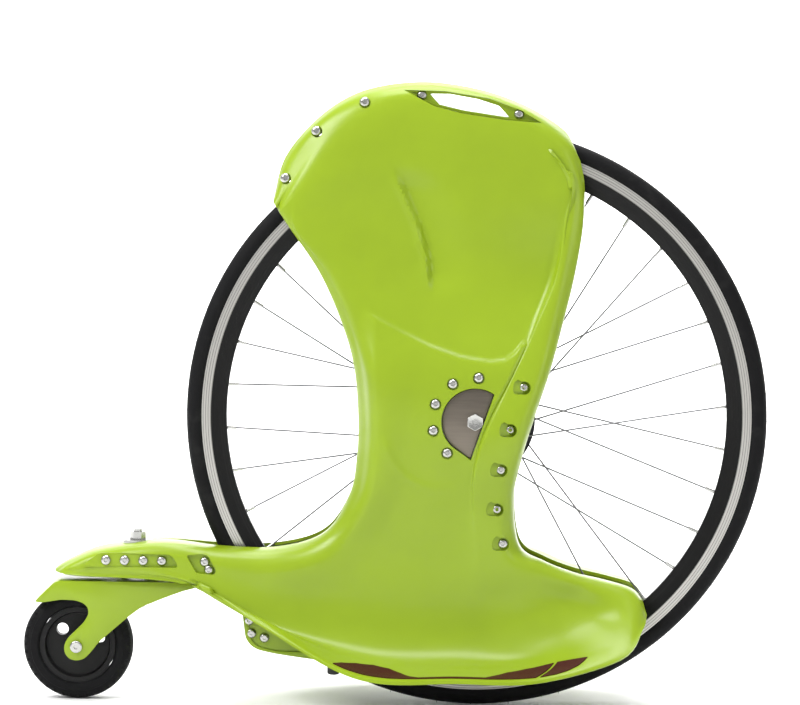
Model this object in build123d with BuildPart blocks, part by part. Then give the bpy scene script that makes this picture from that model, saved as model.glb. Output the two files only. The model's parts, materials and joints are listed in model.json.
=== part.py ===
from build123d import *

import math
import os

# One-wheel kick cruiser: a full-size spoked wheel between two moulded shells with foot decks, and a tail
# with a swivel caster.
#
# +X is forward, +Z is up and the wheels turn in the XZ plane.  The origin is on the floor, under the middle of
# the length.  The rider's right side is -Y.  Side-view points are (x, z), with x measured forward of the main
# axle and z above the floor.  "Out" is the distance from the wheel plane.

# ---------------------------------------------------------------- driving dimensions
WHEEL_R = 334.0  # 700 x 23C tyre, outside radius
TYRE_HALF_WIDTH = 11.5
TYRE_WALL = 2.9
TUBE_WALL = 1.0
RIM_R = 317.0  # top of the rim walls
RIM_HALF_WIDTH = 9.5
RIM_BED_R = 307.0
RIM_NOSE_R = 287.5
RIM_WALL = 1.7
SPOKES_PER_SIDE = 18
SPOKE_R = 1.0
SPOKE_CIRCLE_R = 63.0  # spoke holes in the hub flanges
SPOKE_LIFT = 1.2  # between the bent spoke and the flange face
SPOKE_LEAN_DEG = 20.0  # angle at the hub between a spoke's flange hole and its nipple
FIRST_NIPPLE_DEG = 3.2
VALVE_DEG = 78.2
VALVE_R = 3.0
NIPPLE_R = 2.1
NIPPLE_LENGTH = 14.0
FLANGE_R = 68.0
FLANGE_OUT = 28.0  # middle of each hub flange
FLANGE_THICK = 4.0
HUB_BARREL_R = 19.0
HUB_HALF_LENGTH = 36.0
AXLE_R = 6.0
AXLE_BOLT_R = 4.0
HUB_BEARING_R = 14.0
HUB_BEARING_WIDTH = 8.0

CASTER_R = 63.5
CASTER_HALF_WIDTH = 16.0
CASTER_HUB_R = 43.7
CASTER_X = -457.8  # caster axle, behind the main axle
CASTER_AXLE_R = 4.0
CASTER_BEARING_R = 11.0
CASTER_BEARING_WIDTH = 7.0
CASTER_WINDOW_DEG = (17, 137)
KINGPIN_X = -389.6
KINGPIN_R = 5.0
FORK_TOP_Z = 140.0
FORK_THICK = 4.0
FORK_INSIDE = 24.0  # inner face of each fork cheek

SHELL_WALL = 3.5
PLATE_INSIDE = 38.0  # inner face of each side plate
PLATE_THICK = 4.0
ARM_THICK = 4.0
TAIL_ARM_INSIDE = 24.0  # inner face of each tail arm at its rear end
DECK_FLANGE_Z = 43.5
DECK_FLANGE_THICK = 3.0
DECK_FLANGE_OUT = 122.0
PAD_THICK = 2.0

FIT = 0.05  # clearance on the radius of a running, threaded or seated fit
GAP = 0.3  # clearance between parts that don't touch

SCREW_R = 3.0
SCREW_HEAD_R = 5.3
SCREW_HEAD_HEIGHT = 3.2
SOCKET_WIDTH = 4.0
BOSS_R = 8.0
SEAT_SPACE = 7.0  # between a standoff and the curved shell above it
SPOT_R = 6.2  # flat seat around a screw head

AXLE_X = (-CASTER_X + CASTER_R - WHEEL_R) / 2  # centres the length on the origin
PLATE_OUTSIDE = PLATE_INSIDE + PLATE_THICK
WHEEL_AXIS = Axis((AXLE_X, 0, WHEEL_R), (0, 1, 0))
WHEEL_SECTION = Plane((AXLE_X, 0, WHEEL_R))  # local x is the radius, local y is along the axle
CASTER_AXIS = Axis((AXLE_X + CASTER_X, 0, CASTER_R), (0, 1, 0))
CASTER_SECTION = Plane((AXLE_X + CASTER_X, 0, CASTER_R))
KINGPIN_FOOT = (AXLE_X + KINGPIN_X, 0)
UPRIGHT = (Align.CENTER, Align.CENTER, Align.MIN)
HANGING = (Align.CENTER, Align.CENTER, Align.MAX)

os.makedirs("parts", exist_ok=True)


def save(part, name):
    """Labels a finished piece and writes it to its own file."""
    part.label = name
    export_step(part, f"parts/{name}.step")


def side_view(out=0.0):
    """Right-hand side view: local x is forward of the axle, local y is height, extrusion goes outwards."""
    return Plane((AXLE_X, -out, 0), x_dir=(1, 0, 0), z_dir=(0, -1, 0))


def seat(x, out, z, inwards=False):
    """Where a right-hand fastener sits; its head points outwards, or towards the wheel."""
    return Location(Plane((AXLE_X + x, -out, z), x_dir=(1, 0, 0), z_dir=(0, 1 if inwards else -1, 0)))


def outline(*points, rounding=0.0):
    """A closed side-view outline with rounded corners."""
    with BuildSketch() as flat:
        with BuildLine():
            Polyline(*points, close=True)
        make_face()
        if rounding:
            fillet(flat.vertices(), rounding)
    return flat.sketch


def save_both(part, name):
    """Writes equal pieces of the right and left sides as one group."""
    save(Compound(children=[*part.solids(), *mirror(part, about=Plane.XZ).solids()]), name)


def save_pair(part, name):
    """Writes a right-hand piece and its left-hand twin."""
    save(part, f"right_{name}")
    save(mirror(part, about=Plane.XZ), f"left_{name}")


# ---------------------------------------------------------------- shell skin
SEAM = 1.6  # the skin's crest edge, before its wall leans in to the middle

# Sections of the right-hand skin, each from the rear edge to the front edge, as (x, out, z).
CREST_ROWS = [
    [(-230, 18, 578), (-214, 4, 634), (-186, SEAM, 672), (-152, SEAM, 697), (-112, SEAM, 712), (-57, SEAM, 717),
     (0, SEAM, 709), (46, SEAM, 694), (80, SEAM, 676), (101, 5, 660), (110, 18, 640)],
    [(-230, 28, 576), (-210, 18, 632), (-184, 18, 668), (-151, 18, 692), (-111, 18, 706), (-58, 18, 711),
     (-1, 18, 703), (44, 18, 689), (78, 18, 671), (106, 22, 648), (114, 20, 634)],
    [(-226, 30, 570), (-203, 29, 622), (-176, 28, 655), (-144, 27, 676), (-107, 26, 690), (-58, 26, 695),
     (-3, 26, 688), (38, 26, 676), (74, 28, 662), (104, 28, 640), (117, 20, 625)],
    [(-228, 20, 568), (-222, 31, 572), (-200, 35, 600), (-160, 34, 622), (-105, 30, 630), (-45, 29, 634),
     (15, 30, 632), (60, 33, 628), (92, 37, 618), (112, 32, 606), (121, 20, 600)],
]
# Leg of the shell: height, rear edge x, front edge x, panel out, rib out, rib width, front edge out.
LEG_ROWS = [
    (560, -222, 120, 34, 40, 30, 20),
    (500, -181, 111, 38, 46, 29, 22),
    (440, -154, 97, 45, 53, 38, 26),
    (390, -140, 84, 57, 62, 46, 34),
    (335, -135, 66, 61, 71, 54, 39),
    (290, -136, 53, 61, 70, 56, 37),
    (245, -144, 45, 57, 63, 52, 31),
]
DECK_ROWS = [
    [(-172, 20, 201), (-172, 31, 200), (-166, 43, 197), (-148, 51, 193), (-110, 50, 188), (-60, 51, 188),
     (-10, 53, 190), (8, 57, 192), (35, 58, 190), (50, 44, 190), (52, 24, 190)],
    [(-225, 20, 183), (-222, 32, 181), (-214, 44, 176), (-190, 51, 165), (-140, 49, 150), (-75, 50, 145),
     (-15, 51, 148), (15, 54, 155), (55, 58, 166), (78, 46, 173), (80, 20, 171)],
    [(-290, 14, 182), (-288, 32, 180), (-280, 44, 172), (-250, 50, 155), (-180, 49, 125), (-90, 51, 112),
     (-15, 51, 113), (30, 51, 125), (85, 57, 148), (112, 46, 159), (115, 20, 158)],
    [(-360, SEAM, 187), (-358, 28, 186), (-352, 40, 178), (-310, 46, 158), (-215, 54, 105), (-105, 58, 85),
     (-15, 58, 82), (45, 57, 95), (115, 56, 133), (145, 46, 150), (150, 20, 150)],
    [(-430, SEAM, 178), (-428, 24, 176), (-420, 36, 168), (-340, 44, 152), (-235, 60, 98), (-115, 74, 65),
     (-15, 77, 61), (62, 75, 68), (142, 64, 113), (175, 48, 140), (181, 22, 141)],
    [(-465, SEAM, 164), (-463, 18, 162), (-450, 32, 156), (-338, 45, 147), (-246, 66, 108), (-125, 106, 56),
     (-15, 109, 54), (72, 107, 57), (158, 84, 90), (188, 56, 124), (193, 30, 129)],
    [(-484, SEAM, 152), (-480, 12, 151), (-458, 30, 150), (-330, 44, 144), (-246, 75, 104), (-130, 133, 54),
     (-15, 138, 51), (76, 136, 53), (166, 99, 76), (192, 66, 105), (197, 38, 118)],
    [(-485, SEAM, 149), (-482, 12, 148), (-458, 31, 147), (-328, 45, 140), (-245, 77, 100), (-130, 137, 49),
     (-15, 142, 46), (77, 140, 48), (169, 103, 71), (194, 70, 100), (199, 42, 113)],
]
EDGE_OUT = 30.0  # the skin is this far out just inside its rear edge
BAND = 24.0  # width of the rolled rear band


def leg_row(z, rear, front, panel, rib, rib_width, front_out):
    """One section of the leg: rolled rear band, hollow panel, front rib, rolled front edge."""
    inner = front - rib_width - rear - BAND
    return [
        (rear, EDGE_OUT - 5, z),
        (rear, EDGE_OUT, z),
        (rear + 7, 27 + 0.35 * panel, z),
        (rear + BAND, panel + 3, z),
        (rear + BAND + inner / 3, panel - 1, z),
        (rear + BAND + 2 * inner / 3, panel, z),
        (front - rib_width, panel + 1, z),
        (front - rib_width + 11, rib - 1, z),
        (front - 12, rib - 1, z),
        (front - 1, (rib + front_out) / 2 + 3, z),
        (front, front_out, z),
    ]


skin_rows = [
    [Vector(AXLE_X + x, -out, z) for x, out, z in row]
    for row in CREST_ROWS + [leg_row(*row) for row in LEG_ROWS] + DECK_ROWS
]
LAST_ROW = len(skin_rows) - 1
LAST_COLUMN = len(skin_rows[0]) - 1


def outward(i, j):
    """Unit normal of the skin at one of its points."""
    across = skin_rows[i][min(j + 1, LAST_COLUMN)] - skin_rows[i][max(j - 1, 0)]
    down = skin_rows[min(i + 1, LAST_ROW)][j] - skin_rows[max(i - 1, 0)][j]
    return down.cross(across).normalized()


def skin_layer(inner, outer):
    """A closed faceted layer between two distances from the skin."""
    rows = range(LAST_ROW + 1)
    columns = range(LAST_COLUMN + 1)
    low = [[skin_rows[i][j] + outward(i, j) * inner for j in columns] for i in rows]
    high = [[skin_rows[i][j] + outward(i, j) * outer for j in columns] for i in rows]
    rim = [(0, j) for j in columns] + [(i, LAST_COLUMN) for i in rows[1:]]
    rim += [(LAST_ROW, j) for j in reversed(columns[:-1])] + [(i, 0) for i in reversed(rows[1:-1])]
    triangles = []
    for grid in (low, high):
        for i in rows[:-1]:
            for j in columns[:-1]:
                triangles.append((grid[i][j], grid[i + 1][j], grid[i][j + 1]))
                triangles.append((grid[i + 1][j], grid[i + 1][j + 1], grid[i][j + 1]))
    for (i, j), (k, m) in zip(rim, rim[1:] + rim[:1]):
        triangles.append((low[i][j], low[k][m], high[i][j]))
        triangles.append((low[k][m], high[k][m], high[i][j]))
    faces = [Face(Wire.make_polygon(corners, close=True)) for corners in triangles]
    return Solid(Shell(faces))


# ---------------------------------------------------------------- fasteners
with BuildPart() as screw_head:  # button head with a hexagon socket, seated at its origin
    with BuildSketch(Plane.XZ):
        with BuildLine():
            Polyline((0, SCREW_HEAD_HEIGHT), (0, 0), (SCREW_HEAD_R, 0), (SCREW_HEAD_R, 0.6))
            ThreePointArc((SCREW_HEAD_R, 0.6), (0.8 * SCREW_HEAD_R, 0.74 * SCREW_HEAD_HEIGHT),
                          (0.47 * SCREW_HEAD_R, SCREW_HEAD_HEIGHT))
            Line((0.47 * SCREW_HEAD_R, SCREW_HEAD_HEIGHT), (0, SCREW_HEAD_HEIGHT))
        make_face()
    revolve(axis=Axis.Z)
    with BuildSketch(Plane.XY.offset(SCREW_HEAD_HEIGHT)):
        RegularPolygon(SOCKET_WIDTH / 2, 6, major_radius=False)
    extrude(amount=-0.7 * SCREW_HEAD_HEIGHT, mode=Mode.SUBTRACT)


def screws(seats, length):
    """A group of equal screws, one on each seat."""
    with BuildPart() as group:
        with Locations(*seats):
            add(screw_head.part)
            Cylinder(SCREW_R - FIT, length, align=HANGING)
    return group.part


HUB_SCREW_CIRCLE_R = 49.0
HUB_SCREW_OUT = 61.5
HUB_SCREW_DEG = [86 + 36 * i for i in range(5)]
hub_screw_at = [
    (HUB_SCREW_CIRCLE_R * math.cos(math.radians(a)), WHEEL_R + HUB_SCREW_CIRCLE_R * math.sin(math.radians(a)))
    for a in HUB_SCREW_DEG
]
# Rib screws: x, z, how far out the screw sits at the bottom of its pocket.
rib_screw_at = [(55, 374, 57), (40, 326, 62), (30, 280, 62), (26, 234, 55), (33, 194, 52)]
RIB_POCKET_R = 7.5
crest_screw_at = [(-221, 607), (-186, 661), (-131, 695)]
CREST_SCREW_OUT = 22.0
handle_screw_at = [(-66, 703.5), (45, 683)]
HANDLE_SCREW_OUT = 15.0
tail_screw_at = [(x, 166) for x in (-423, -401.5, -380, -358.5)]
spacer_screw_at = [(-309, 166), (-304, 156.5)]
nose_screw_at = [(-258, 98), (-255, 83), (-240, 78)]
NOSE_OUT = 32.0
arm_bolt_at = [(-120, 92), (-120, 132), (-78, 92), (-78, 132)]

# ---------------------------------------------------------------- tail arms, in plan
ARM_BEND_X = -150.0
ARM_END_X = -345.0


def arm_inside(x):
    """Inner face of a tail arm: flat on the side plate, then converging, then parallel."""
    front = PLATE_INSIDE - ARM_THICK
    share = min(max((ARM_BEND_X - x) / (ARM_BEND_X - ARM_END_X), 0), 1)
    return front + share * (TAIL_ARM_INSIDE - front)


TAIL_SCREW_OUT = 37.0
SPACER_SCREW_OUT = 39.0

# ---------------------------------------------------------------- carrying handle
lens_low = [(-86, 709), (-52, 692), (-20, 684), (30, 677), (70, 674)]
lens_top = [(70, 674), (48, 687), (12, 700), (-40, 708), (-86, 709)]
grip_low = [(-57, 705), (-46, 693), (-18, 686.5), (34, 679)]
grip_top = [(34, 679), (22, 692), (-2, 699.5), (-34, 705), (-57, 705)]


def lens(low, top):
    """A closed outline between two lines of points that share their ends."""
    with BuildSketch() as flat:
        with BuildLine():
            Polyline(*low, *top[1:-1], close=True)
        make_face()
    return flat.sketch


# ---------------------------------------------------------------- right and left shells
HUB_WINDOW_R = 39.0
KINGPIN_BOSS_R = 17.5
SWING_R = 84.0  # swept by the front of the fork
SWING_GAP = 1.0

# Screws through the shell: places, seat, radius of the flat around the head.
shell_screws = [
    (hub_screw_at, HUB_SCREW_OUT, SPOT_R),
    (crest_screw_at, CREST_SCREW_OUT, SPOT_R),
    (handle_screw_at, HANDLE_SCREW_OUT, SPOT_R),
    (tail_screw_at, TAIL_SCREW_OUT, SPOT_R),
    (spacer_screw_at, SPACER_SCREW_OUT, SPOT_R),
]

with BuildPart() as shell_cuts:
    for places, out, spot in shell_screws:
        with Locations(*[seat(x, out, z) for x, z in places]):
            Cylinder(spot, 25, align=UPRIGHT)
            Cylinder(SCREW_R, 25, align=HANGING)
    with Locations(*[seat(x, PLATE_OUTSIDE, z) for x, z, out in rib_screw_at]):
        Cylinder(RIB_POCKET_R, 50, align=UPRIGHT)
    with BuildSketch(side_view(-1)):
        add(lens(lens_low, lens_top))
        offset(amount=GAP)
    extrude(amount=40)
    with BuildSketch(side_view(PLATE_OUTSIDE + 2)):  # hub window, closed in front by the rib
        with Locations((0, WHEEL_R)):
            Circle(HUB_WINDOW_R)
        with BuildLine():
            Polyline((28, 376), (-8, 281), (80, 281), (80, 376), close=True)
        make_face(mode=Mode.SUBTRACT)
    extrude(amount=40)
    with Locations((*KINGPIN_FOOT, FORK_TOP_Z)):
        Cylinder(KINGPIN_BOSS_R + GAP, 80, align=UPRIGHT)
    with Locations((*KINGPIN_FOOT, FORK_TOP_Z + SWING_GAP)):
        Cylinder(SWING_R, 60, align=HANGING)

with BuildPart() as right_shell:
    add(skin_layer(-SHELL_WALL, 0))
    add(shell_cuts.part, mode=Mode.SUBTRACT)
save_pair(right_shell.part, "shell")

HANDLE_RIM_OUT = 18.0
with BuildPart() as handle_core:
    with BuildSketch(side_view(-HANDLE_RIM_OUT)):
        add(lens(lens_low, lens_top))
    extrude(amount=2 * HANDLE_RIM_OUT)
    for plane in (side_view(HANDLE_SCREW_OUT), side_view(-HANDLE_SCREW_OUT - 10)):
        with BuildSketch(plane):
            add(lens(lens_low, lens_top))
            offset(amount=-1.5)
        extrude(amount=10, mode=Mode.SUBTRACT)
    with BuildSketch(side_view(-HANDLE_RIM_OUT)):
        add(lens(grip_low, grip_top))
    extrude(amount=2 * HANDLE_RIM_OUT, mode=Mode.SUBTRACT)
    for side in (-1, 1):
        with Locations(*[
            Plane((AXLE_X + x, side * HANDLE_SCREW_OUT, z), z_dir=(0, side, 0)) for x, z in handle_screw_at]):
            Cylinder(SCREW_R, HANDLE_SCREW_OUT, align=HANGING, mode=Mode.SUBTRACT)
            Cylinder(SPOT_R, 10, align=UPRIGHT, mode=Mode.SUBTRACT)
save(handle_core.part, "handle_core")

with BuildPart() as standoffs:
    with Locations(*[seat(x, PLATE_OUTSIDE, z) for x, z in hub_screw_at]):
        Cylinder(BOSS_R, HUB_SCREW_OUT - SHELL_WALL - SEAT_SPACE - PLATE_OUTSIDE, align=UPRIGHT)
        Cylinder(SCREW_R, 40, align=UPRIGHT, mode=Mode.SUBTRACT)
    for x, z, out in rib_screw_at:
        with Locations(seat(x, PLATE_OUTSIDE, z)):
            Cylinder(RIB_POCKET_R - 2 * GAP, out - PLATE_OUTSIDE, align=UPRIGHT)
            Cylinder(SCREW_R, 40, align=UPRIGHT, mode=Mode.SUBTRACT)
save_both(standoffs.part, "shell_standoffs")

# ---------------------------------------------------------------- grip pads on the decks
heel_pad = [(-150, -118), (-118, -131), (-66, -134), (-80, -112), (-96, -97), (-130, -94)]
ball_pad = [(16, -134), (80, -131), (104, -118), (124, -104), (96, -98), (52, -103), (28, -116)]
pads = []
for corners in (heel_pad, ball_pad):
    with BuildPart() as pad:
        add(skin_layer(0, PAD_THICK))
        with BuildSketch(Plane.XY.offset(20)):
            with BuildLine():
                Polyline(*[(AXLE_X + x, y) for x, y in corners], close=True)
            pad_face = make_face()
            fillet(pad_face.vertices(), 3)
        extrude(amount=60, mode=Mode.INTERSECT)
    pads.append(pad.part.solid())
save_pair(Compound(children=pads), "grip_pads")

REST_FOOT_R = 7.0
with BuildPart() as rest_foot:
    with Locations((AXLE_X - 157, -100, 48)):
        Cylinder(REST_FOOT_R, 12, align=UPRIGHT)
    fillet(rest_foot.edges().group_by(Axis.Z)[0], 2.5)
save_both(rest_foot.part, "rest_feet")

# ---------------------------------------------------------------- side plates
plate_outline = outline(
    (-55, 320), (-58, 345), (-48, 372), (-30, 392), (0, 396), (30, 394), (62, 386), (66, 374), (52, 326), (42, 282),
    (36, 234), (42, 196), (52, 166), (84, 132), (100, 100), (104, 60), (104, DECK_FLANGE_Z), (-130, DECK_FLANGE_Z),
    (-136, 90), (-128, 142), (-70, 142), (-40, 200), (-28, 250), (-40, 292), rounding=3)
with BuildPart() as right_side_plate:
    with BuildSketch(side_view(PLATE_INSIDE)):
        add(plate_outline)
        with Locations((0, WHEEL_R)):
            Circle(AXLE_R + FIT, mode=Mode.SUBTRACT)
        with Locations(*[(x, z) for x, z in hub_screw_at], *[(x, z) for x, z, out in rib_screw_at]):
            Circle(SCREW_R, mode=Mode.SUBTRACT)
        with Locations(*arm_bolt_at):
            Circle(SCREW_R, mode=Mode.SUBTRACT)
        with BuildLine():
            Polyline((-22, 190), (20, 190), (34, 150), (60, 112), (60, 70), (-50, 70), (-50, 130), close=True)
        window = make_face(mode=Mode.PRIVATE)
        add(window, mode=Mode.SUBTRACT)
    extrude(amount=PLATE_THICK)
    with BuildSketch(Plane.XY.offset(DECK_FLANGE_Z)):  # deck flange
        with BuildLine():
            Polyline((AXLE_X - 110, -PLATE_INSIDE), (AXLE_X - 110, -DECK_FLANGE_OUT + 14), (AXLE_X - 96, -DECK_FLANGE_OUT),
                     (AXLE_X + 60, -DECK_FLANGE_OUT), (AXLE_X + 78, -DECK_FLANGE_OUT + 24), (AXLE_X + 84, -PLATE_INSIDE),
                     close=True)
        make_face()
    extrude(amount=DECK_FLANGE_THICK)
save_pair(right_side_plate.part, "side_plate")

# ---------------------------------------------------------------- tail arms, block, spacer and guard
arm_outline = outline(
    (-60, 66), (-60, 142), (-150, 146), (-210, 156), (-300, 169.5), (-427, 169.2), (-434, 153), (-345, 150), (-280, 129),
    (-160, 79), (-130, 66), rounding=3)
with BuildPart() as right_tail_arm:
    with BuildSketch(Plane.XY.offset(0)):
        with BuildLine():
            Polyline(
                (AXLE_X - 50, -arm_inside(-50)), (AXLE_X + ARM_BEND_X, -arm_inside(ARM_BEND_X)),
                (AXLE_X + ARM_END_X, -arm_inside(ARM_END_X)), (AXLE_X - 450, -arm_inside(-450)),
                (AXLE_X - 450, -arm_inside(-450) - ARM_THICK), (AXLE_X + ARM_END_X, -arm_inside(ARM_END_X) - ARM_THICK),
                (AXLE_X + ARM_BEND_X, -arm_inside(ARM_BEND_X) - ARM_THICK), (AXLE_X - 50, -arm_inside(-50) - ARM_THICK),
                close=True)
        make_face()
    extrude(amount=250)
    with BuildSketch(side_view(0)):
        add(arm_outline)
        with Locations(*arm_bolt_at):
            Circle(SCREW_R, mode=Mode.SUBTRACT)
        with Locations(*tail_screw_at, *spacer_screw_at):
            Circle(SCREW_R, mode=Mode.SUBTRACT)
    extrude(amount=60, mode=Mode.INTERSECT)
save_pair(right_tail_arm.part, "tail_arm")

BLOCK_Z = 152.0
BLOCK_TOP_Z = 170.5
KINGPIN_BOSS_Z = 184.0
BUSH_R = 8.0
with BuildPart() as tail_block:
    with Locations((AXLE_X - 388, 0, BLOCK_Z)):
        Box(84, 2 * TAIL_ARM_INSIDE, BLOCK_TOP_Z - BLOCK_Z, align=UPRIGHT)
    with Locations((*KINGPIN_FOOT, BLOCK_Z)):
        Cylinder(KINGPIN_BOSS_R, KINGPIN_BOSS_Z - BLOCK_Z, align=UPRIGHT)
        Cylinder(BUSH_R, KINGPIN_BOSS_Z - BLOCK_Z, align=UPRIGHT, mode=Mode.SUBTRACT)
    for side in (1, -1):
        with Locations(*[
            Plane((AXLE_X + x, -side * TAIL_ARM_INSIDE, z), z_dir=(0, -side, 0)) for x, z in tail_screw_at]):
            Cylinder(SCREW_R, 10, align=HANGING, mode=Mode.SUBTRACT)
save(tail_block.part, "tail_block")

SPACER_X = (-330.0, -298.0)
with BuildPart() as tail_spacer:
    with BuildSketch(Plane.XY.offset(BLOCK_Z)):
        with BuildLine():
            rear, front = SPACER_X
            Polyline((AXLE_X + rear, -arm_inside(rear)), (AXLE_X + front, -arm_inside(front)),
                     (AXLE_X + front, arm_inside(front)), (AXLE_X + rear, arm_inside(rear)), close=True)
        make_face()
    extrude(amount=BLOCK_TOP_Z - BLOCK_Z)
    for side in (1, -1):
        with Locations(*[Plane((AXLE_X + x, -side * 30, z), z_dir=(0, -side, 0)) for x, z in spacer_screw_at]):
            Cylinder(SCREW_R, 20, align=HANGING, mode=Mode.SUBTRACT)
save(tail_spacer.part, "tail_spacer")

GUARD_SPACE_R = WHEEL_R + 8
with BuildPart() as nose_guard:
    with BuildSketch(side_view(-NOSE_OUT)):
        with BuildLine():
            Polyline((-277, 126), (-264.5, 105), (-262, 78), (-247, 64), (-207, 57), (-168, 52), (-160, 56), (-160, 78.4),
                     (-274, 126.1), close=True)
        make_face()
    extrude(amount=2 * NOSE_OUT)
    with BuildSketch(WHEEL_SECTION):
        with BuildLine():
            Polyline((0, -NOSE_OUT + 4), (240, -NOSE_OUT + 4), (300, -17), (GUARD_SPACE_R, -17), (GUARD_SPACE_R, 17),
                     (300, 17), (240, NOSE_OUT - 4), (0, NOSE_OUT - 4), close=True)
        make_face()
    revolve(axis=WHEEL_AXIS, mode=Mode.SUBTRACT)
    for side in (1, -1):
        with Locations(*[
            Plane((AXLE_X + x, -side * NOSE_OUT, z), z_dir=(0, -side, 0)) for x, z in nose_screw_at]):
            Cylinder(SCREW_R, 12, align=HANGING, mode=Mode.SUBTRACT)
save(nose_guard.part, "nose_guard")

# ---------------------------------------------------------------- screws
PLATE_THREAD = HUB_SCREW_OUT - PLATE_INSIDE
save_pair(screws([seat(x, HUB_SCREW_OUT, z) for x, z in hub_screw_at], PLATE_THREAD), "hub_screws")
with BuildPart() as rib_screws:
    for x, z, out in rib_screw_at:
        with Locations(seat(x, out, z)):
            add(screw_head.part)
            Cylinder(SCREW_R - FIT, out - PLATE_INSIDE, align=HANGING)
save_pair(rib_screws.part, "rib_screws")
crest_seats = [seat(x, CREST_SCREW_OUT, z) for x, z in crest_screw_at]
save_both(screws(crest_seats, CREST_SCREW_OUT - 1), "crest_screws")
handle_seats = [seat(x, HANDLE_SCREW_OUT, z) for x, z in handle_screw_at]
save_both(screws(handle_seats, HANDLE_SCREW_OUT - 1), "handle_screws")
with BuildPart() as tail_screws:
    add(screws([seat(x, TAIL_SCREW_OUT, z) for x, z in tail_screw_at], TAIL_SCREW_OUT - TAIL_ARM_INSIDE + 9))
    add(screws([seat(x, SPACER_SCREW_OUT, z) for x, z in spacer_screw_at], SPACER_SCREW_OUT - 15))
save_both(tail_screws.part, "tail_screws")
save_both(screws([seat(x, NOSE_OUT, z) for x, z in nose_screw_at], 11), "nose_screws")
arm_seats = [seat(x, PLATE_INSIDE - ARM_THICK, z, inwards=True) for x, z in arm_bolt_at]
save_both(screws(arm_seats, ARM_THICK + PLATE_THICK), "arm_bolts")

# ---------------------------------------------------------------- main axle and its clamp discs
DISC_R = 37.5
DISC_OUT = 50.0
DISC_THICK = 5.0
AXLE_HALF = DISC_OUT + DISC_THICK - 1
with BuildPart() as axle:
    with Locations((AXLE_X, 0, WHEEL_R)):
        Cylinder(AXLE_R, 2 * AXLE_HALF, rotation=(90, 0, 0))
        Cylinder(AXLE_BOLT_R, 2 * AXLE_HALF, rotation=(90, 0, 0), mode=Mode.SUBTRACT)
    with Locations((AXLE_X, 0, WHEEL_R)):
        Cylinder(AXLE_BOLT_R + 1, 2 * (AXLE_HALF - 22), rotation=(90, 0, 0))
save(axle.part, "main_axle")

with BuildPart() as right_hub_disc:
    with Locations(seat(0, PLATE_OUTSIDE, WHEEL_R)):
        Cylinder(14, DISC_OUT - PLATE_OUTSIDE, align=UPRIGHT)
    with Locations(seat(0, DISC_OUT, WHEEL_R)):
        Cylinder(DISC_R, DISC_THICK, align=UPRIGHT)
    chamfer(right_hub_disc.faces().filter_by(Axis.Y).sort_by(Axis.Y)[0].edges(), 0.8)
    with Locations(seat(0, 0, WHEEL_R)):
        Cylinder(AXLE_R + FIT, DISC_OUT + DISC_THICK, align=UPRIGHT, mode=Mode.SUBTRACT)
    with Locations(seat(rib_screw_at[1][0], DISC_OUT, rib_screw_at[1][1])):  # notch around the nearest standoff
        Cylinder(RIB_POCKET_R, DISC_THICK, align=UPRIGHT, mode=Mode.SUBTRACT)
save_pair(right_hub_disc.part, "hub_disc")

with BuildPart() as right_axle_bolt:
    with BuildSketch(side_view(DISC_OUT + DISC_THICK)):
        with Locations((0, WHEEL_R)):
            RegularPolygon(8.5, 6, major_radius=False)
    extrude(amount=7)
    with BuildSketch(side_view(DISC_OUT + DISC_THICK + 7)):
        with Locations((0, WHEEL_R)):
            RegularPolygon(4, 6, major_radius=False)
    extrude(amount=-5, mode=Mode.SUBTRACT)
    with Locations(seat(0, DISC_OUT + DISC_THICK, WHEEL_R)):
        Cylinder(AXLE_BOLT_R - FIT, 20, align=HANGING)
save_pair(right_axle_bolt.part, "axle_bolt")

with BuildPart() as right_axle_spacer:
    with BuildSketch(side_view(HUB_HALF_LENGTH + GAP)):
        with Locations((0, WHEEL_R)):
            Circle(10)
            Circle(AXLE_R + FIT, mode=Mode.SUBTRACT)
    extrude(amount=PLATE_INSIDE - HUB_HALF_LENGTH - GAP)
save_pair(right_axle_spacer.part, "axle_spacer")

# ---------------------------------------------------------------- main wheel
TYRE_CENTRE_R = WHEEL_R - TYRE_HALF_WIDTH
BEAD_OUT = RIM_HALF_WIDTH - RIM_WALL - GAP
with BuildPart() as main_tyre:
    with BuildSketch(WHEEL_SECTION):
        with Locations((TYRE_CENTRE_R, 0)):
            Circle(TYRE_HALF_WIDTH)
        with Locations((RIM_BED_R + 2, 0)):
            Rectangle(12, 2 * BEAD_OUT, align=(Align.MIN, Align.CENTER))
        with Locations((TYRE_CENTRE_R, 0)):
            Circle(TYRE_HALF_WIDTH - TYRE_WALL, mode=Mode.SUBTRACT)
        with Locations((RIM_BED_R, 0)):
            Rectangle(12, 2 * BEAD_OUT - 4.4, align=(Align.MIN, Align.CENTER), mode=Mode.SUBTRACT)
        for side in (-1, 1):
            with Locations((RIM_BED_R, side * BEAD_OUT)):
                Rectangle(RIM_R + GAP - RIM_BED_R, 10, align=(Align.MIN, Align.MAX if side < 0 else Align.MIN),
                          mode=Mode.SUBTRACT)
    revolve(axis=WHEEL_AXIS)
save(main_tyre.part, "main_tyre")

TUBE_R = TYRE_HALF_WIDTH - TYRE_WALL - GAP
with BuildPart() as inner_tube:
    with BuildSketch(WHEEL_SECTION):
        with Locations((TYRE_CENTRE_R, 0)):
            Circle(TUBE_R)
            Circle(TUBE_R - TUBE_WALL, mode=Mode.SUBTRACT)
    revolve(axis=WHEEL_AXIS)
    with Locations(Plane((AXLE_X, 0, WHEEL_R)) * Location((0, 0, 0), (0, -VALVE_DEG, 0))):
        with Locations((TYRE_CENTRE_R - TUBE_R, 0, 0)):
            Cylinder(VALVE_R + FIT, 12, rotation=(0, 90, 0), mode=Mode.SUBTRACT)
save(inner_tube.part, "inner_tube")

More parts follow.
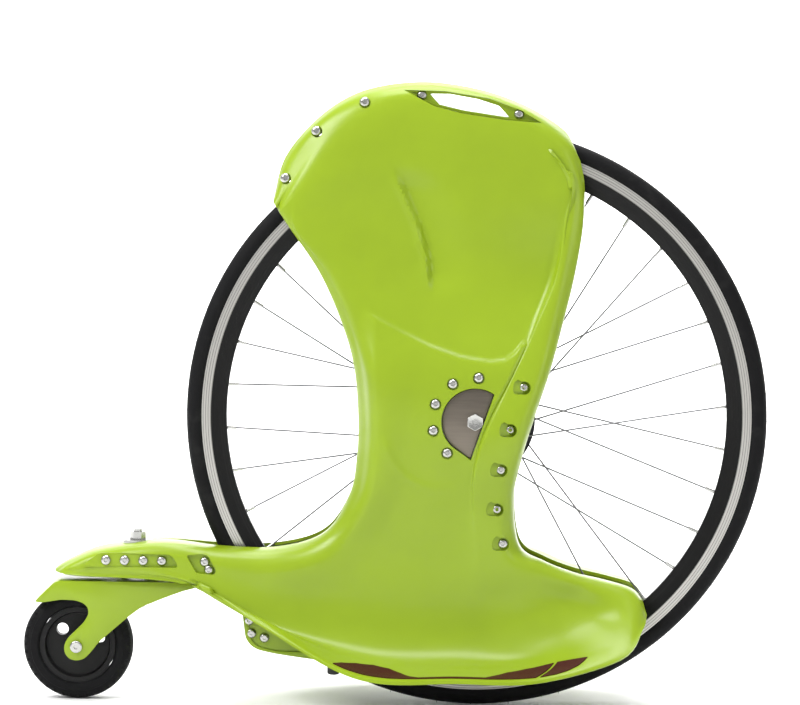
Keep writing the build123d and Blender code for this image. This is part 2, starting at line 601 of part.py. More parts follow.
TAPE_THICK = 0.8
with BuildPart() as rim_tape:
    with BuildSketch(WHEEL_SECTION):
        with Locations((RIM_BED_R, 0)):
            Rectangle(TAPE_THICK, 2 * BEAD_OUT - 0.4, align=(Align.MIN, Align.CENTER))
    revolve(axis=WHEEL_AXIS)
    with Locations(Plane((AXLE_X, 0, WHEEL_R)) * Location((0, 0, 0), (0, -VALVE_DEG, 0))):
        with Locations((RIM_BED_R, 0, 0)):
            Cylinder(VALVE_R + 0.5, 12, rotation=(0, 90, 0), mode=Mode.SUBTRACT)
save(rim_tape.part, "rim_tape")

spoke_seats = []  # nipple place, spoke direction, flange point, side of the wheel, head inside the flange
for side in (-1, 1):
    for i in range(SPOKES_PER_SIDE):
        step = 360 / SPOKES_PER_SIDE
        nipple_deg = FIRST_NIPPLE_DEG + step * i + (step / 2 if side > 0 else 0)
        trailing = i % 2 == 0
        hole_deg = nipple_deg + (-SPOKE_LEAN_DEG if trailing else SPOKE_LEAN_DEG)
        face = FLANGE_OUT + (1 if trailing else -1) * (FLANGE_THICK / 2 + SPOKE_R + SPOKE_LIFT)
        hole = Vector(AXLE_X + SPOKE_CIRCLE_R * math.cos(math.radians(hole_deg)), side * face,
                      WHEEL_R + SPOKE_CIRCLE_R * math.sin(math.radians(hole_deg)))
        nipple = Vector(AXLE_X + RIM_NOSE_R * math.cos(math.radians(nipple_deg)), 0,
                        WHEEL_R + RIM_NOSE_R * math.sin(math.radians(nipple_deg)))
        spoke_seats.append((nipple, (nipple - hole).normalized(), hole, side, trailing))

CAVITY_R = RIM_NOSE_R + 2.0
with BuildPart() as rim:
    with BuildSketch(WHEEL_SECTION):
        with BuildLine():
            Polyline((RIM_R, RIM_HALF_WIDTH), (RIM_R - 11, RIM_HALF_WIDTH), (RIM_NOSE_R + 8, 7), (RIM_NOSE_R, 4.2),
                     (RIM_NOSE_R, -4.2), (RIM_NOSE_R + 8, -7), (RIM_R - 11, -RIM_HALF_WIDTH), (RIM_R, -RIM_HALF_WIDTH),
                     (RIM_R, RIM_WALL - RIM_HALF_WIDTH), (RIM_BED_R, RIM_WALL - RIM_HALF_WIDTH),
                     (RIM_BED_R, RIM_HALF_WIDTH - RIM_WALL), (RIM_R, RIM_HALF_WIDTH - RIM_WALL), close=True)
        make_face()
        with BuildLine():
            Polyline((RIM_BED_R - 2, 7.2), (CAVITY_R + 7, 5.2), (CAVITY_R, 3.0), (CAVITY_R, -3.0), (CAVITY_R + 7, -5.2),
                     (RIM_BED_R - 2, -7.2), close=True)
        make_face(mode=Mode.SUBTRACT)
    revolve(axis=WHEEL_AXIS)
    with Locations(*[Plane(nipple, z_dir=along) for nipple, along, hole, side, trailing in spoke_seats]):
        Cylinder(NIPPLE_R + FIT, 8, mode=Mode.SUBTRACT)
    with Locations(Plane((AXLE_X, 0, WHEEL_R)) * Location((0, 0, 0), (0, -VALVE_DEG, 0))):
        with Locations((RIM_NOSE_R + 9, 0, 0)):
            Cylinder(VALVE_R + FIT, 40, rotation=(0, 90, 0), mode=Mode.SUBTRACT)
save(rim.part, "main_rim")

with BuildPart() as nipples:
    for nipple, along, hole, side, trailing in spoke_seats:
        with Locations(Plane(nipple, z_dir=along)):
            with Locations((0, 0, 2.7)):
                Cylinder(NIPPLE_R, NIPPLE_LENGTH, align=HANGING)
                Cylinder(NIPPLE_R + 0.5, 1.8, align=UPRIGHT)
                Cylinder(SPOKE_R + FIT, NIPPLE_LENGTH, align=HANGING, mode=Mode.SUBTRACT)
save(nipples.part, "spoke_nipples")



def spoke(nipple, along, hole, side, trailing):
    """One spoke: straight run, elbow through the flange, and head on the flange's other face."""
    through = Vector(0, side * (-1 if trailing else 1), 0)
    shank = FLANGE_THICK + SPOKE_R + SPOKE_LIFT + FIT
    with BuildPart() as wire:
        with Locations(Plane(hole, z_dir=along)):
            Cylinder(SPOKE_R, (nipple - hole).length, align=UPRIGHT)
        with Locations(Plane(hole - through * SPOKE_R, z_dir=through)):
            Cylinder(SPOKE_R + FIT / 2, shank + SPOKE_R, align=UPRIGHT)
        with Locations(Plane(hole + through * shank, z_dir=through)):
            Cylinder(1.9 * SPOKE_R, 1.2, align=UPRIGHT)
    return wire.part


for side, name in ((-1, "right_spokes"), (1, "left_spokes")):
    group = Compound(children=[spoke(*place) for place in spoke_seats if place[3] == side])
    save(group, name)

SLEEVE_R = 8.0
with BuildPart() as hub_shell:
    with BuildSketch(WHEEL_SECTION):
        half = HUB_HALF_LENGTH
        with BuildLine():
            Polyline((SLEEVE_R + 1, 0), (SLEEVE_R + 1, half - HUB_BEARING_WIDTH), (HUB_BEARING_R + FIT, half - HUB_BEARING_WIDTH),
                     (HUB_BEARING_R + FIT, half), (HUB_BARREL_R, half), (HUB_BARREL_R, FLANGE_OUT + 6),
                     (HUB_BARREL_R + 8, FLANGE_OUT + 2), (FLANGE_R, FLANGE_OUT + 2), (FLANGE_R, FLANGE_OUT - 2),
                     (HUB_BARREL_R + 8, FLANGE_OUT - 2), (HUB_BARREL_R, FLANGE_OUT - 8), (HUB_BARREL_R - 3, 0), close=True)
        make_face()
        mirror(about=Plane(WHEEL_SECTION.origin, z_dir=(0, 1, 0)))
    revolve(axis=WHEEL_AXIS)
    for nipple, along, hole, side, trailing in spoke_seats:
        with Locations(Plane((hole.X, side * FLANGE_OUT, hole.Z), z_dir=(0, 1, 0))):
            Cylinder(SPOKE_R + 4 * FIT, 2 * FLANGE_THICK, mode=Mode.SUBTRACT)
    for side in (-1, 1):
        with Locations(*[
            Plane((AXLE_X + 45 * math.cos(math.radians(a)), side * FLANGE_OUT, WHEEL_R + 45 * math.sin(math.radians(a))),
                  z_dir=(0, 1, 0)) for a in range(18, 360, 36)]):
            Cylinder(7, 2 * FLANGE_THICK, mode=Mode.SUBTRACT)
save(hub_shell.part, "hub_shell")

with BuildPart() as right_hub_bearing:
    with BuildSketch(side_view(HUB_HALF_LENGTH - HUB_BEARING_WIDTH)):
        with Locations((0, WHEEL_R)):
            Circle(HUB_BEARING_R)
            Circle(AXLE_R + FIT, mode=Mode.SUBTRACT)
    extrude(amount=HUB_BEARING_WIDTH)
save_pair(right_hub_bearing.part, "hub_bearing")

with BuildPart() as bearing_sleeve:
    with Locations((AXLE_X, 0, WHEEL_R)):
        Cylinder(SLEEVE_R, 2 * (HUB_HALF_LENGTH - HUB_BEARING_WIDTH), rotation=(90, 0, 0))
        Cylinder(AXLE_R + FIT, 2 * HUB_HALF_LENGTH, rotation=(90, 0, 0), mode=Mode.SUBTRACT)
save(bearing_sleeve.part, "bearing_sleeve")

with BuildPart() as valve:
    with Locations(Plane((AXLE_X, 0, WHEEL_R)) * Location((0, 0, 0), (0, -VALVE_DEG, 0))):
        with Locations((TYRE_CENTRE_R - TUBE_R + TUBE_WALL, 0, 0)):
            Cylinder(VALVE_R, 55, rotation=(0, 90, 0), align=HANGING)
save(valve.part, "valve_stem")

# ---------------------------------------------------------------- caster fork
fork_cheek = outline(
    (-507, 115), (-482, 139), (-390, FORK_TOP_Z), (-355, FORK_TOP_Z), (-314, 136), (-358, 121), (-382, 111), (-398, 99),
    (-432, 69), (-443, 54), (-450, 48), (-464, 48), (-472, 60), (-464, 78), (-449, 93), (-443, 105), (-450, 115),
    (-474, 118), (-499, 114), rounding=1.5)
FORK_OUTSIDE = FORK_INSIDE + FORK_THICK
KINGPIN_SLEEVE_Z = 118.0
with BuildPart() as fork:
    with BuildSketch(side_view(-FORK_OUTSIDE)):
        add(fork_cheek)
    extrude(amount=2 * FORK_OUTSIDE)
    with BuildSketch(side_view(-FORK_INSIDE)):  # the channel between the cheeks
        with BuildLine():
            Polyline((-520, 40), (-300, 40), (-300, 129), (-355, FORK_TOP_Z - 5), (-480, FORK_TOP_Z - 5),
                     (-505, 112), close=True)
        make_face()
    extrude(amount=2 * FORK_INSIDE, mode=Mode.SUBTRACT)
    with Locations((*KINGPIN_FOOT, KINGPIN_SLEEVE_Z)):
        Cylinder(11, FORK_TOP_Z - KINGPIN_SLEEVE_Z, align=UPRIGHT)
        Cylinder(KINGPIN_R + FIT, FORK_TOP_Z - KINGPIN_SLEEVE_Z, align=UPRIGHT, mode=Mode.SUBTRACT)
    with Locations((AXLE_X + CASTER_X, 0, CASTER_R)):
        Cylinder(CASTER_AXLE_R + FIT, 3 * FORK_OUTSIDE, rotation=(90, 0, 0), mode=Mode.SUBTRACT)
save(fork.part, "caster_fork")

RACE_THICK = 2.5
RACE_R = 19.0
CAGE_THICK = 3.0
NUT_Z = KINGPIN_BOSS_Z + GAP + 2
with BuildPart() as kingpin:
    with Locations((*KINGPIN_FOOT, KINGPIN_SLEEVE_Z)):
        Cylinder(9, 12, align=HANGING)
        Cylinder(KINGPIN_R, NUT_Z + 12 - KINGPIN_SLEEVE_Z, align=UPRIGHT)
    fillet(kingpin.edges().group_by(Axis.Z)[0], 3)
save(kingpin.part, "kingpin")

with BuildPart() as lower_race:
    with Locations((*KINGPIN_FOOT, FORK_TOP_Z)):
        Cylinder(RACE_R, RACE_THICK, align=UPRIGHT)
        Cylinder(KINGPIN_R + FIT, RACE_THICK, align=UPRIGHT, mode=Mode.SUBTRACT)
save(lower_race.part, "lower_race")

with BuildPart() as ball_cage:
    with Locations((*KINGPIN_FOOT, FORK_TOP_Z + RACE_THICK)):
        Cylinder(RACE_R - 2, CAGE_THICK, align=UPRIGHT)
        Cylinder(KINGPIN_R + 3, CAGE_THICK, align=UPRIGHT, mode=Mode.SUBTRACT)
save(ball_cage.part, "ball_cage")

PAD_RING_Z = 149.0
with BuildPart() as upper_race:
    with Locations((*KINGPIN_FOOT, FORK_TOP_Z + RACE_THICK + CAGE_THICK + GAP)):
        Cylinder(RACE_R, PAD_RING_Z - FORK_TOP_Z - RACE_THICK - CAGE_THICK - GAP, align=UPRIGHT)
        Cylinder(BUSH_R, 10, align=UPRIGHT, mode=Mode.SUBTRACT)
save(upper_race.part, "upper_race")

with BuildPart() as swivel_pad:
    with Locations((*KINGPIN_FOOT, PAD_RING_Z)):
        Cylinder(TAIL_ARM_INSIDE - GAP, BLOCK_Z - PAD_RING_Z, align=UPRIGHT)
        Cylinder(BUSH_R, 10, align=UPRIGHT, mode=Mode.SUBTRACT)
save(swivel_pad.part, "swivel_pad")

with BuildPart() as kingpin_bush:
    with Locations((*KINGPIN_FOOT, BLOCK_Z)):
        Cylinder(BUSH_R - FIT, KINGPIN_BOSS_Z - BLOCK_Z, align=UPRIGHT)
        Cylinder(KINGPIN_R + FIT, 40, align=UPRIGHT, mode=Mode.SUBTRACT)
save(kingpin_bush.part, "kingpin_bush")

with BuildPart() as kingpin_washer:
    with Locations((*KINGPIN_FOOT, KINGPIN_BOSS_Z + GAP)):
        Cylinder(KINGPIN_BOSS_R - 0.5, 2, align=UPRIGHT)
        Cylinder(KINGPIN_R + FIT, 2, align=UPRIGHT, mode=Mode.SUBTRACT)
save(kingpin_washer.part, "kingpin_washer")

with BuildPart() as kingpin_nut:
    with BuildSketch(Plane.XY.offset(NUT_Z)):
        with Locations(KINGPIN_FOOT):
            RegularPolygon(8, 6, major_radius=False)
            Circle(KINGPIN_R + FIT, mode=Mode.SUBTRACT)
    extrude(amount=9)
save(kingpin_nut.part, "kingpin_nut")

# ---------------------------------------------------------------- caster wheel
with BuildPart() as caster_axle:
    with Locations(seat(CASTER_X, FORK_OUTSIDE, CASTER_R)):
        Cylinder(7.2, 4, align=UPRIGHT)
        Cylinder(CASTER_AXLE_R, 2 * FORK_OUTSIDE + 9, align=HANGING)
    fillet(caster_axle.faces().sort_by(Axis.Y)[0].edges(), 2)
    with BuildSketch(side_view(FORK_OUTSIDE + 4)):
        with Locations((CASTER_X, CASTER_R)):
            RegularPolygon(2.5, 6, major_radius=False)
    extrude(amount=-2.6, mode=Mode.SUBTRACT)
save(caster_axle.part, "caster_axle_bolt")

with BuildPart() as caster_nut:
    with BuildSketch(Plane((AXLE_X, FORK_OUTSIDE, 0), x_dir=(1, 0, 0), z_dir=(0, -1, 0))):
        with Locations((CASTER_X, CASTER_R)):
            RegularPolygon(6.5, 6, major_radius=False)
            Circle(CASTER_AXLE_R + FIT, mode=Mode.SUBTRACT)
    extrude(amount=-7)
save(caster_nut.part, "caster_axle_nut")

with BuildPart() as caster_spacer:
    with BuildSketch(side_view(CASTER_HALF_WIDTH - 2 + GAP)):
        with Locations((CASTER_X, CASTER_R)):
            Circle(6.5)
            Circle(CASTER_AXLE_R + FIT, mode=Mode.SUBTRACT)
    extrude(amount=FORK_INSIDE - CASTER_HALF_WIDTH + 2 - GAP)
save_pair(caster_spacer.part, "caster_spacer")

with BuildPart() as caster_tyre:
    with BuildSketch(CASTER_SECTION):
        with Locations((CASTER_HUB_R, 0)):
            Rectangle(CASTER_R - CASTER_HUB_R, 2 * CASTER_HALF_WIDTH, align=(Align.MIN, Align.CENTER))
        fillet(vertices().group_by(Axis.X)[-1], 7)
    revolve(axis=CASTER_AXIS)
save(caster_tyre.part, "caster_tyre")

with BuildPart() as caster_hub:
    with BuildSketch(CASTER_SECTION):
        with BuildLine():
            half = CASTER_HALF_WIDTH - 2
            Polyline((CASTER_BEARING_R + FIT, 5), (CASTER_BEARING_R + FIT, half), (14, half), (16, 6), (36, 6),
                     (38, half - 1), (CASTER_HUB_R, half - 1), (CASTER_HUB_R, 0), (CASTER_BEARING_R - 2, 0),
                     (CASTER_BEARING_R - 2, 5), close=True)
        make_face()
        mirror(about=Plane(CASTER_SECTION.origin, z_dir=(0, 1, 0)))
    revolve(axis=CASTER_AXIS)
    with Locations(*[
        Plane((AXLE_X + CASTER_X + 25 * math.cos(math.radians(a)), 0, CASTER_R + 25 * math.sin(math.radians(a))),
              z_dir=(0, 1, 0)) for a in CASTER_WINDOW_DEG]):
        Cylinder(7, 40, mode=Mode.SUBTRACT)
save(caster_hub.part, "caster_hub")

with BuildPart() as caster_bearing:
    with BuildSketch(side_view(CASTER_HALF_WIDTH - 2 - CASTER_BEARING_WIDTH)):
        with Locations((CASTER_X, CASTER_R)):
            Circle(CASTER_BEARING_R)
            Circle(CASTER_AXLE_R + FIT, mode=Mode.SUBTRACT)
    extrude(amount=CASTER_BEARING_WIDTH)
save_pair(caster_bearing.part, "caster_bearing")
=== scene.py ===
import json
import math

import bmesh
import bpy
import numpy as np
from bpy.props import FloatProperty, FloatVectorProperty, IntProperty, PointerProperty
from mathutils import Matrix, Vector


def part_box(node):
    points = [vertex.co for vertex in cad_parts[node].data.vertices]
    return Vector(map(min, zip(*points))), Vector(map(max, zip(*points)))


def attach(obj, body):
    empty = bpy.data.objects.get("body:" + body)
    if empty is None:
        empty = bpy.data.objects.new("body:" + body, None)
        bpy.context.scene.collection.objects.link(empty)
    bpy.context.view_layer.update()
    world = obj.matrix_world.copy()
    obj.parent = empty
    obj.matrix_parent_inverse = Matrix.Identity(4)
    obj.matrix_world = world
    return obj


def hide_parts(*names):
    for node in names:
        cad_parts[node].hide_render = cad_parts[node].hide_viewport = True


bl_info = {
    "name": "One-wheel cruiser",
    "version": (1, 0, 0),
    "blender": (4, 5, 0),
    "location": "View3D > Sidebar > Cruiser",
    "description": "Builds the moulded shells, wheels, pads, finishes and stage of a one-wheel kick cruiser",
    "category": "Object",
}

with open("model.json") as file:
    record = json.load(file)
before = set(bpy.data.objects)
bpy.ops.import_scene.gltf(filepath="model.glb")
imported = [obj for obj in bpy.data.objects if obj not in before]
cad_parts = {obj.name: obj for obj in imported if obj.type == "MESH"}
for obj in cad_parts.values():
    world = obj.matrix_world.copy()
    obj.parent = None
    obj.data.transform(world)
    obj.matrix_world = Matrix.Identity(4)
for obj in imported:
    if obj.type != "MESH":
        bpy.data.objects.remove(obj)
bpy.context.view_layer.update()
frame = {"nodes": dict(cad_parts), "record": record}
JOINTS = {joint["name"]: Vector(joint["pos_m"]) for joint in frame["record"]["behaviour"]["joints"]}
AXLE = JOINTS["main_wheel_spin"]
CASTER_AXLE = JOINTS["caster_wheel_spin"]
KINGPIN = JOINTS["caster_swivel"]
MM = 0.001
Y_AXIS = Vector((0, 1, 0))


# ---------------------------------------------------------------- the moulded skin, in millimetres
# Sections of the right-hand skin, crest to deck lip, each from the rear edge to the front edge.
# A point is (forward of the axle, out from the wheel plane, above the floor).
CREST_ROWS = [
    [(-235, 16, 582), (-223, 4, 629), (-192, 0.4, 669), (-154, 0.4, 698), (-112, 0.4, 713), (-57, 0.4, 718),
     (0, 0.4, 710), (46, 0.4, 695), (80, 0.4, 677), (101, 5, 660), (110, 18, 640)],
    [(-234, 25, 579), (-217, 16, 626), (-188, 17, 664), (-151, 17, 692), (-109, 18, 706), (-54, 18, 711),
     (6, 18, 702), (50, 18, 687), (82, 19, 669), (106, 21, 648), (114, 20, 634)],
    [(-231, 28, 575), (-206, 26, 618), (-178, 27, 652), (-144, 27, 676), (-96, 26, 691), (-34, 26, 692),
     (42, 27, 676), (66, 28, 666), (86, 29, 654), (104, 27, 640), (117, 20, 625)],
    [(-229, 24, 571), (-223, 31, 577), (-200, 34, 602), (-160, 34, 622), (-95, 31, 632), (0, 30, 634),
     (95, 32.5, 616), (104, 33, 611), (111, 32, 607), (117, 29, 603), (121, 20, 600)],
]
# Leg of the shell: height, rear edge, front edge, panel out, rib out, rib width, front edge out.
LEG_ROWS = [
    (560, -222, 120, 34, 41, 30, 20),
    (500, -181, 111, 38, 46, 29, 22),
    (440, -154, 97, 45, 53, 38, 26),
    (390, -140, 84, 57, 62, 46, 34),
    (335, -135, 66, 61, 71, 54, 39),
    (290, -136, 53, 61, 70, 56, 37),
    (245, -144, 45, 57, 63, 52, 31),
]
DECK_ROWS = [
    [(-172, 20, 201), (-172, 31, 200), (-166, 43, 197), (-148, 51, 193), (-110, 50, 188), (-60, 51, 188),
     (-10, 53, 190), (8, 57, 192), (35, 58, 190), (50, 44, 190), (52, 24, 190)],
    [(-225, 20, 183), (-222, 32, 181), (-214, 44, 176), (-190, 51, 165), (-140, 49, 150), (-75, 50, 145),
     (-15, 51, 148), (15, 54, 155), (55, 58, 166), (78, 46, 173), (80, 20, 171)],
    [(-290, 14, 182), (-288, 32, 180), (-280, 44, 172), (-250, 50, 155), (-180, 49, 125), (-90, 51, 112),
     (-15, 51, 113), (30, 51, 125), (85, 57, 148), (112, 46, 159), (115, 20, 158)],
    [(-360, 0.4, 187), (-358, 28, 186), (-352, 40, 178), (-310, 46, 158), (-215, 54, 105), (-105, 58, 85),
     (-15, 58, 82), (45, 57, 95), (115, 56, 133), (145, 46, 150), (150, 20, 150)],
    [(-430, 0.4, 178), (-428, 24, 176), (-420, 36, 168), (-340, 44, 152), (-235, 60, 98), (-115, 74, 65),
     (-15, 77, 61), (62, 75, 68), (142, 64, 113), (175, 48, 140), (181, 22, 141)],
    [(-465, 0.4, 164), (-463, 18, 162), (-450, 32, 156), (-338, 45, 147), (-246, 66, 108), (-125, 106, 56),
     (-15, 109, 54), (72, 107, 57), (158, 84, 90), (188, 56, 124), (193, 30, 129)],
    [(-484, 0.4, 152), (-480, 12, 151), (-458, 30, 150), (-330, 44, 144), (-246, 75, 104), (-130, 133, 54),
     (-15, 138, 51), (76, 136, 53), (166, 99, 76), (192, 66, 105), (197, 38, 118)],
    [(-485, 0.4, 149), (-482, 12, 148), (-458, 31, 147), (-328, 45, 140), (-245, 77, 100), (-130, 137, 49),
     (-15, 142, 46), (77, 140, 48), (169, 103, 71), (194, 70, 100), (199, 42, 113)],
]
EDGE_OUT = 30.0
BAND = 24.0

HUB_HEIGHT = AXLE.z / MM
WINDOW_RADIUS = 38.6
DISC_OUT = (50, 59)  # inner and outer face of each clamp disc
BOLT_HEAD_RADIUS = 10.2
BOLT_HEAD_DEPTH = 6
SCREW_CIRCLE = 49.0
HUB_SCREW_DEG = [86 + 36 * i for i in range(5)]
RIB_SCREWS = [(55, 374, 57), (40, 326, 62), (30, 280, 62), (26, 234, 55), (33, 194, 52)]
CREST_SCREWS = [(-221, 607), (-186, 661), (-131, 695)]
HANDLE_SCREWS = [(-66, 703.5), (45, 683)]
TAIL_SCREWS = [(x, 166) for x in (-423, -401.5, -380, -358.5)]
NOSE_SCREWS = [(-258, 98), (-255, 83), (-240, 78)]
SPACER_SCREWS = [(-309, 166), (-304, 156.5)]
HANDLE_LENS = [(-86.6, 709.3), (-52, 691.7), (-20, 683.7), (30, 676.7), (71, 673.6), (48, 687.3), (12, 700.4),
               (-40, 708.4)]
TAIL_POCKET = [(-451, 158), (-429, 174), (-347, 174), (-338, 159)]
SWING_RADIUS = 84.0  # room in the shells for the fork to swing, about the kingpin
SWING_GAP = 1.0
SWING_DEPTH = 60.0
FORK_WALL = 4.0
TYRE_WALL = 2.6
TREAD_DEPTH = 0.35
SEAT_RADIUS = 6.9  # round seats of the hub and crest screws
SPACER_POCKET = [(-330, 174), (-312, 175.5), (-305, 174), (-295, 157), (-298, 152), (-318, 153)]


def leg_row(z, rear, front, panel, rib, rib_width, front_out):
    """One section of the leg: rolled rear band, hollow panel, front rib, rolled front edge."""
    inner = front - rib_width - rear - BAND
    return [
        (rear, EDGE_OUT - 6, z), (rear + 1, EDGE_OUT, z), (rear + 8, 24 + 0.3 * panel, z), (rear + BAND, panel + 2, z),
        (rear + BAND + inner / 3, panel - 1, z), (rear + BAND + 2 * inner / 3, panel, z),
        (front - rib_width, panel + 1, z), (front - rib_width + 8, rib - 1, z), (front - 12, rib - 1, z),
        (front - 1, (rib + front_out) / 2 + 3, z), (front, front_out, z),
    ]


SKIN_NET = np.array(CREST_ROWS + [leg_row(*row) for row in LEG_ROWS] + DECK_ROWS, dtype=float)


def smooth_step(value, low, high):
    """0 below low, 1 above high, smooth between."""
    t = np.clip((value - low) / (high - low), 0, 1)
    return t * t * (3 - 2 * t)


# ---------------------------------------------------------------- modelling helpers
def activate(obj):
    """Makes one object the only selected and active one."""
    bpy.ops.object.select_all(action="DESELECT")
    obj.select_set(True)
    bpy.context.view_layer.objects.active = obj


def named(name):
    """Names the object that an operator has just added."""
    obj = bpy.context.active_object
    obj.name = name
    obj.data.name = name
    return obj


def edit(obj, choose=None, mode="FACE"):
    """Opens an object in edit mode with the chosen elements selected, or all of them."""
    activate(obj)
    bpy.ops.object.mode_set(mode="EDIT")
    bpy.ops.mesh.select_mode(type=mode)
    bpy.ops.mesh.select_all(action="DESELECT" if choose else "SELECT")
    if choose:
        mesh = bmesh.from_edit_mesh(obj.data)
        for element in {"FACE": mesh.faces, "EDGE": mesh.edges, "VERT": mesh.verts}[mode]:
            element.select_set(bool(choose(element)))
        bmesh.update_edit_mesh(obj.data)


def done():
    """Leaves edit mode."""
    bpy.ops.object.mode_set(mode="OBJECT")


def modify(obj, kind, **settings):
    """Adds a modifier and applies it."""
    activate(obj)
    modifier = obj.modifiers.new(kind.lower(), kind)
    for key, value in settings.items():
        setattr(modifier, key, value)
    bpy.ops.object.modifier_apply(modifier=modifier.name)


def settle(obj):
    """Moves an object's place, turn and size into its mesh."""
    activate(obj)
    bpy.ops.object.transform_apply(location=True, rotation=True, scale=True)


def outward_normals(obj):
    """Merges doubles and points every face outwards."""
    edit(obj)
    bpy.ops.mesh.remove_doubles(threshold=1e-6)
    bpy.ops.mesh.normals_make_consistent(inside=False)
    done()


def smooth(obj, degrees=32):
    """Smooth shading, with edges sharper than an angle kept crisp."""
    activate(obj)
    bpy.ops.object.shade_smooth_by_angle(angle=math.radians(degrees))


def finish_piece(obj, body, material, slot, *nodes):
    """Gives a finished piece its material and its body, and hides the nodes that it stands for; the slot is not used.
    """
    obj.data.materials.clear()
    obj.data.materials.append(material)
    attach(obj, body)
    if nodes:
        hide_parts(*nodes)


def join(objects, name):
    """Joins objects into one."""
    activate(objects[0])
    for obj in objects[1:]:
        obj.select_set(True)
    bpy.ops.object.join()
    return named(name)


def mirror_copy(obj, name):
    """A left-hand copy with its own mesh, turned right side out again."""
    activate(obj)
    bpy.ops.object.duplicate()
    twin = named(name)
    twin.scale.y = -1
    settle(twin)
    edit(twin)
    bpy.ops.mesh.flip_normals()
    done()
    return twin


def prism(name, outline, out_low, out_high):
    """A right-hand prism on a side-view outline, between two distances from the wheel plane."""
    bpy.ops.object.select_all(action="DESELECT")
    bpy.ops.mesh.primitive_circle_add(vertices=len(outline), radius=1, fill_type="NGON")
    obj = named(name)
    for vertex, (x, z) in zip(obj.data.vertices, outline):
        vertex.co = (AXLE.x + x * MM, -out_low * MM, z * MM)
    edit(obj)
    bpy.ops.mesh.extrude_region_move(TRANSFORM_OT_translate={"value": (0, -(out_high - out_low) * MM, 0)})
    done()
    outward_normals(obj)
    return obj


def cylinder(name, radius, depth, place, vertices=48, across=False):
    """An upright cylinder in millimetres, or one that lies along the Y axis."""
    bpy.ops.object.select_all(action="DESELECT")
    bpy.ops.mesh.primitive_cylinder_add(vertices=vertices, radius=radius * MM, depth=depth * MM, location=place,
                                        rotation=(math.radians(90) if across else 0, 0, 0))
    obj = named(name)
    settle(obj)
    return obj


def skin_mesh(name, grid, facing):
    """A surface through a grid of skin points, with its front turned to a direction."""
    rows, columns = grid.shape[:2]
    bpy.ops.object.select_all(action="DESELECT")
    bpy.ops.mesh.primitive_grid_add(x_subdivisions=columns - 1, y_subdivisions=rows - 1, size=2)
    obj = named(name)
    if len(obj.data.vertices) != rows * columns:
        raise RuntimeError(f"{name} has the wrong number of points")
    for vertex in obj.data.vertices:
        column = round((vertex.co.x + 1) / 2 * (columns - 1))
        row = round((vertex.co.y + 1) / 2 * (rows - 1))
        x, out, z = grid[row, column]
        vertex.co = (AXLE.x + x * MM, -out * MM, z * MM)
    edit(obj)
    bpy.ops.mesh.normals_make_consistent(inside=False)
    done()
    if sum(face.normal.dot(facing) * face.area for face in obj.data.polygons) < 0:
        edit(obj)
        bpy.ops.mesh.flip_normals()
        done()
    return obj


def round_outline(outline, radius, steps=5):
    """The outline with each corner replaced by an arc."""
    corners = [Vector(point) for point in outline]
    rounded = []
    for before, corner, after in zip(corners[-1:] + corners[:-1], corners, corners[1:] + corners[:1]):
        back = (before - corner)
        ahead = (after - corner)
        reach = min(radius, 0.45 * back.length, 0.45 * ahead.length)
        start = corner + back.normalized() * reach
        end = corner + ahead.normalized() * reach
        for step in range(steps + 1):
            t = step / steps
            point = start * (1 - t) ** 2 + corner * 2 * t * (1 - t) + end * t ** 2
            rounded.append((point.x, point.y))
    return rounded


def lathe(name, profile, centre, segments):
    """A ring turned about the Y axis through centre, from (radius, along) points in millimetres."""
    bpy.ops.object.select_all(action="DESELECT")
    bpy.ops.mesh.primitive_circle_add(vertices=len(profile), radius=1, fill_type="NOTHING")
    obj = named(name)
    for vertex, (radius, along) in zip(obj.data.vertices, profile):
        vertex.co = (centre.x + radius * MM, centre.y + along * MM, centre.z)
    edit(obj)
    bpy.ops.mesh.spin(steps=segments, angle=math.tau, center=centre, axis=Y_AXIS, use_auto_merge=True)
    done()
    outward_normals(obj)
    return obj


# ---------------------------------------------------------------- shader helpers
class Socket:
    """A shader value that can be used in ordinary expressions."""

    def __init__(self, tree, link):
        self.tree = tree
        self.link = link

    def maths(self, operation, *others, **settings):
        return self.tree.node("ShaderNodeMath", {"operation": operation, **settings}, [self, *others])

    def __add__(self, other):
        return self.maths("ADD", other)

    def __sub__(self, other):
        return self.maths("SUBTRACT", other)

    def __mul__(self, other):
        return self.maths("MULTIPLY", other)

    def __truediv__(self, other):
        return self.maths("DIVIDE", other)

    def __rsub__(self, other):
        return self.tree.node("ShaderNodeMath", {"operation": "SUBTRACT"}, [other, self])

    __radd__ = __add__
    __rmul__ = __mul__

    def step(self, low, high):
        """0 below low, 1 above high, smooth between."""
        return self.tree.node("ShaderNodeMapRange", {"interpolation_type": "SMOOTHSTEP"},
                              {"Value": self, "From Min": low, "From Max": high})


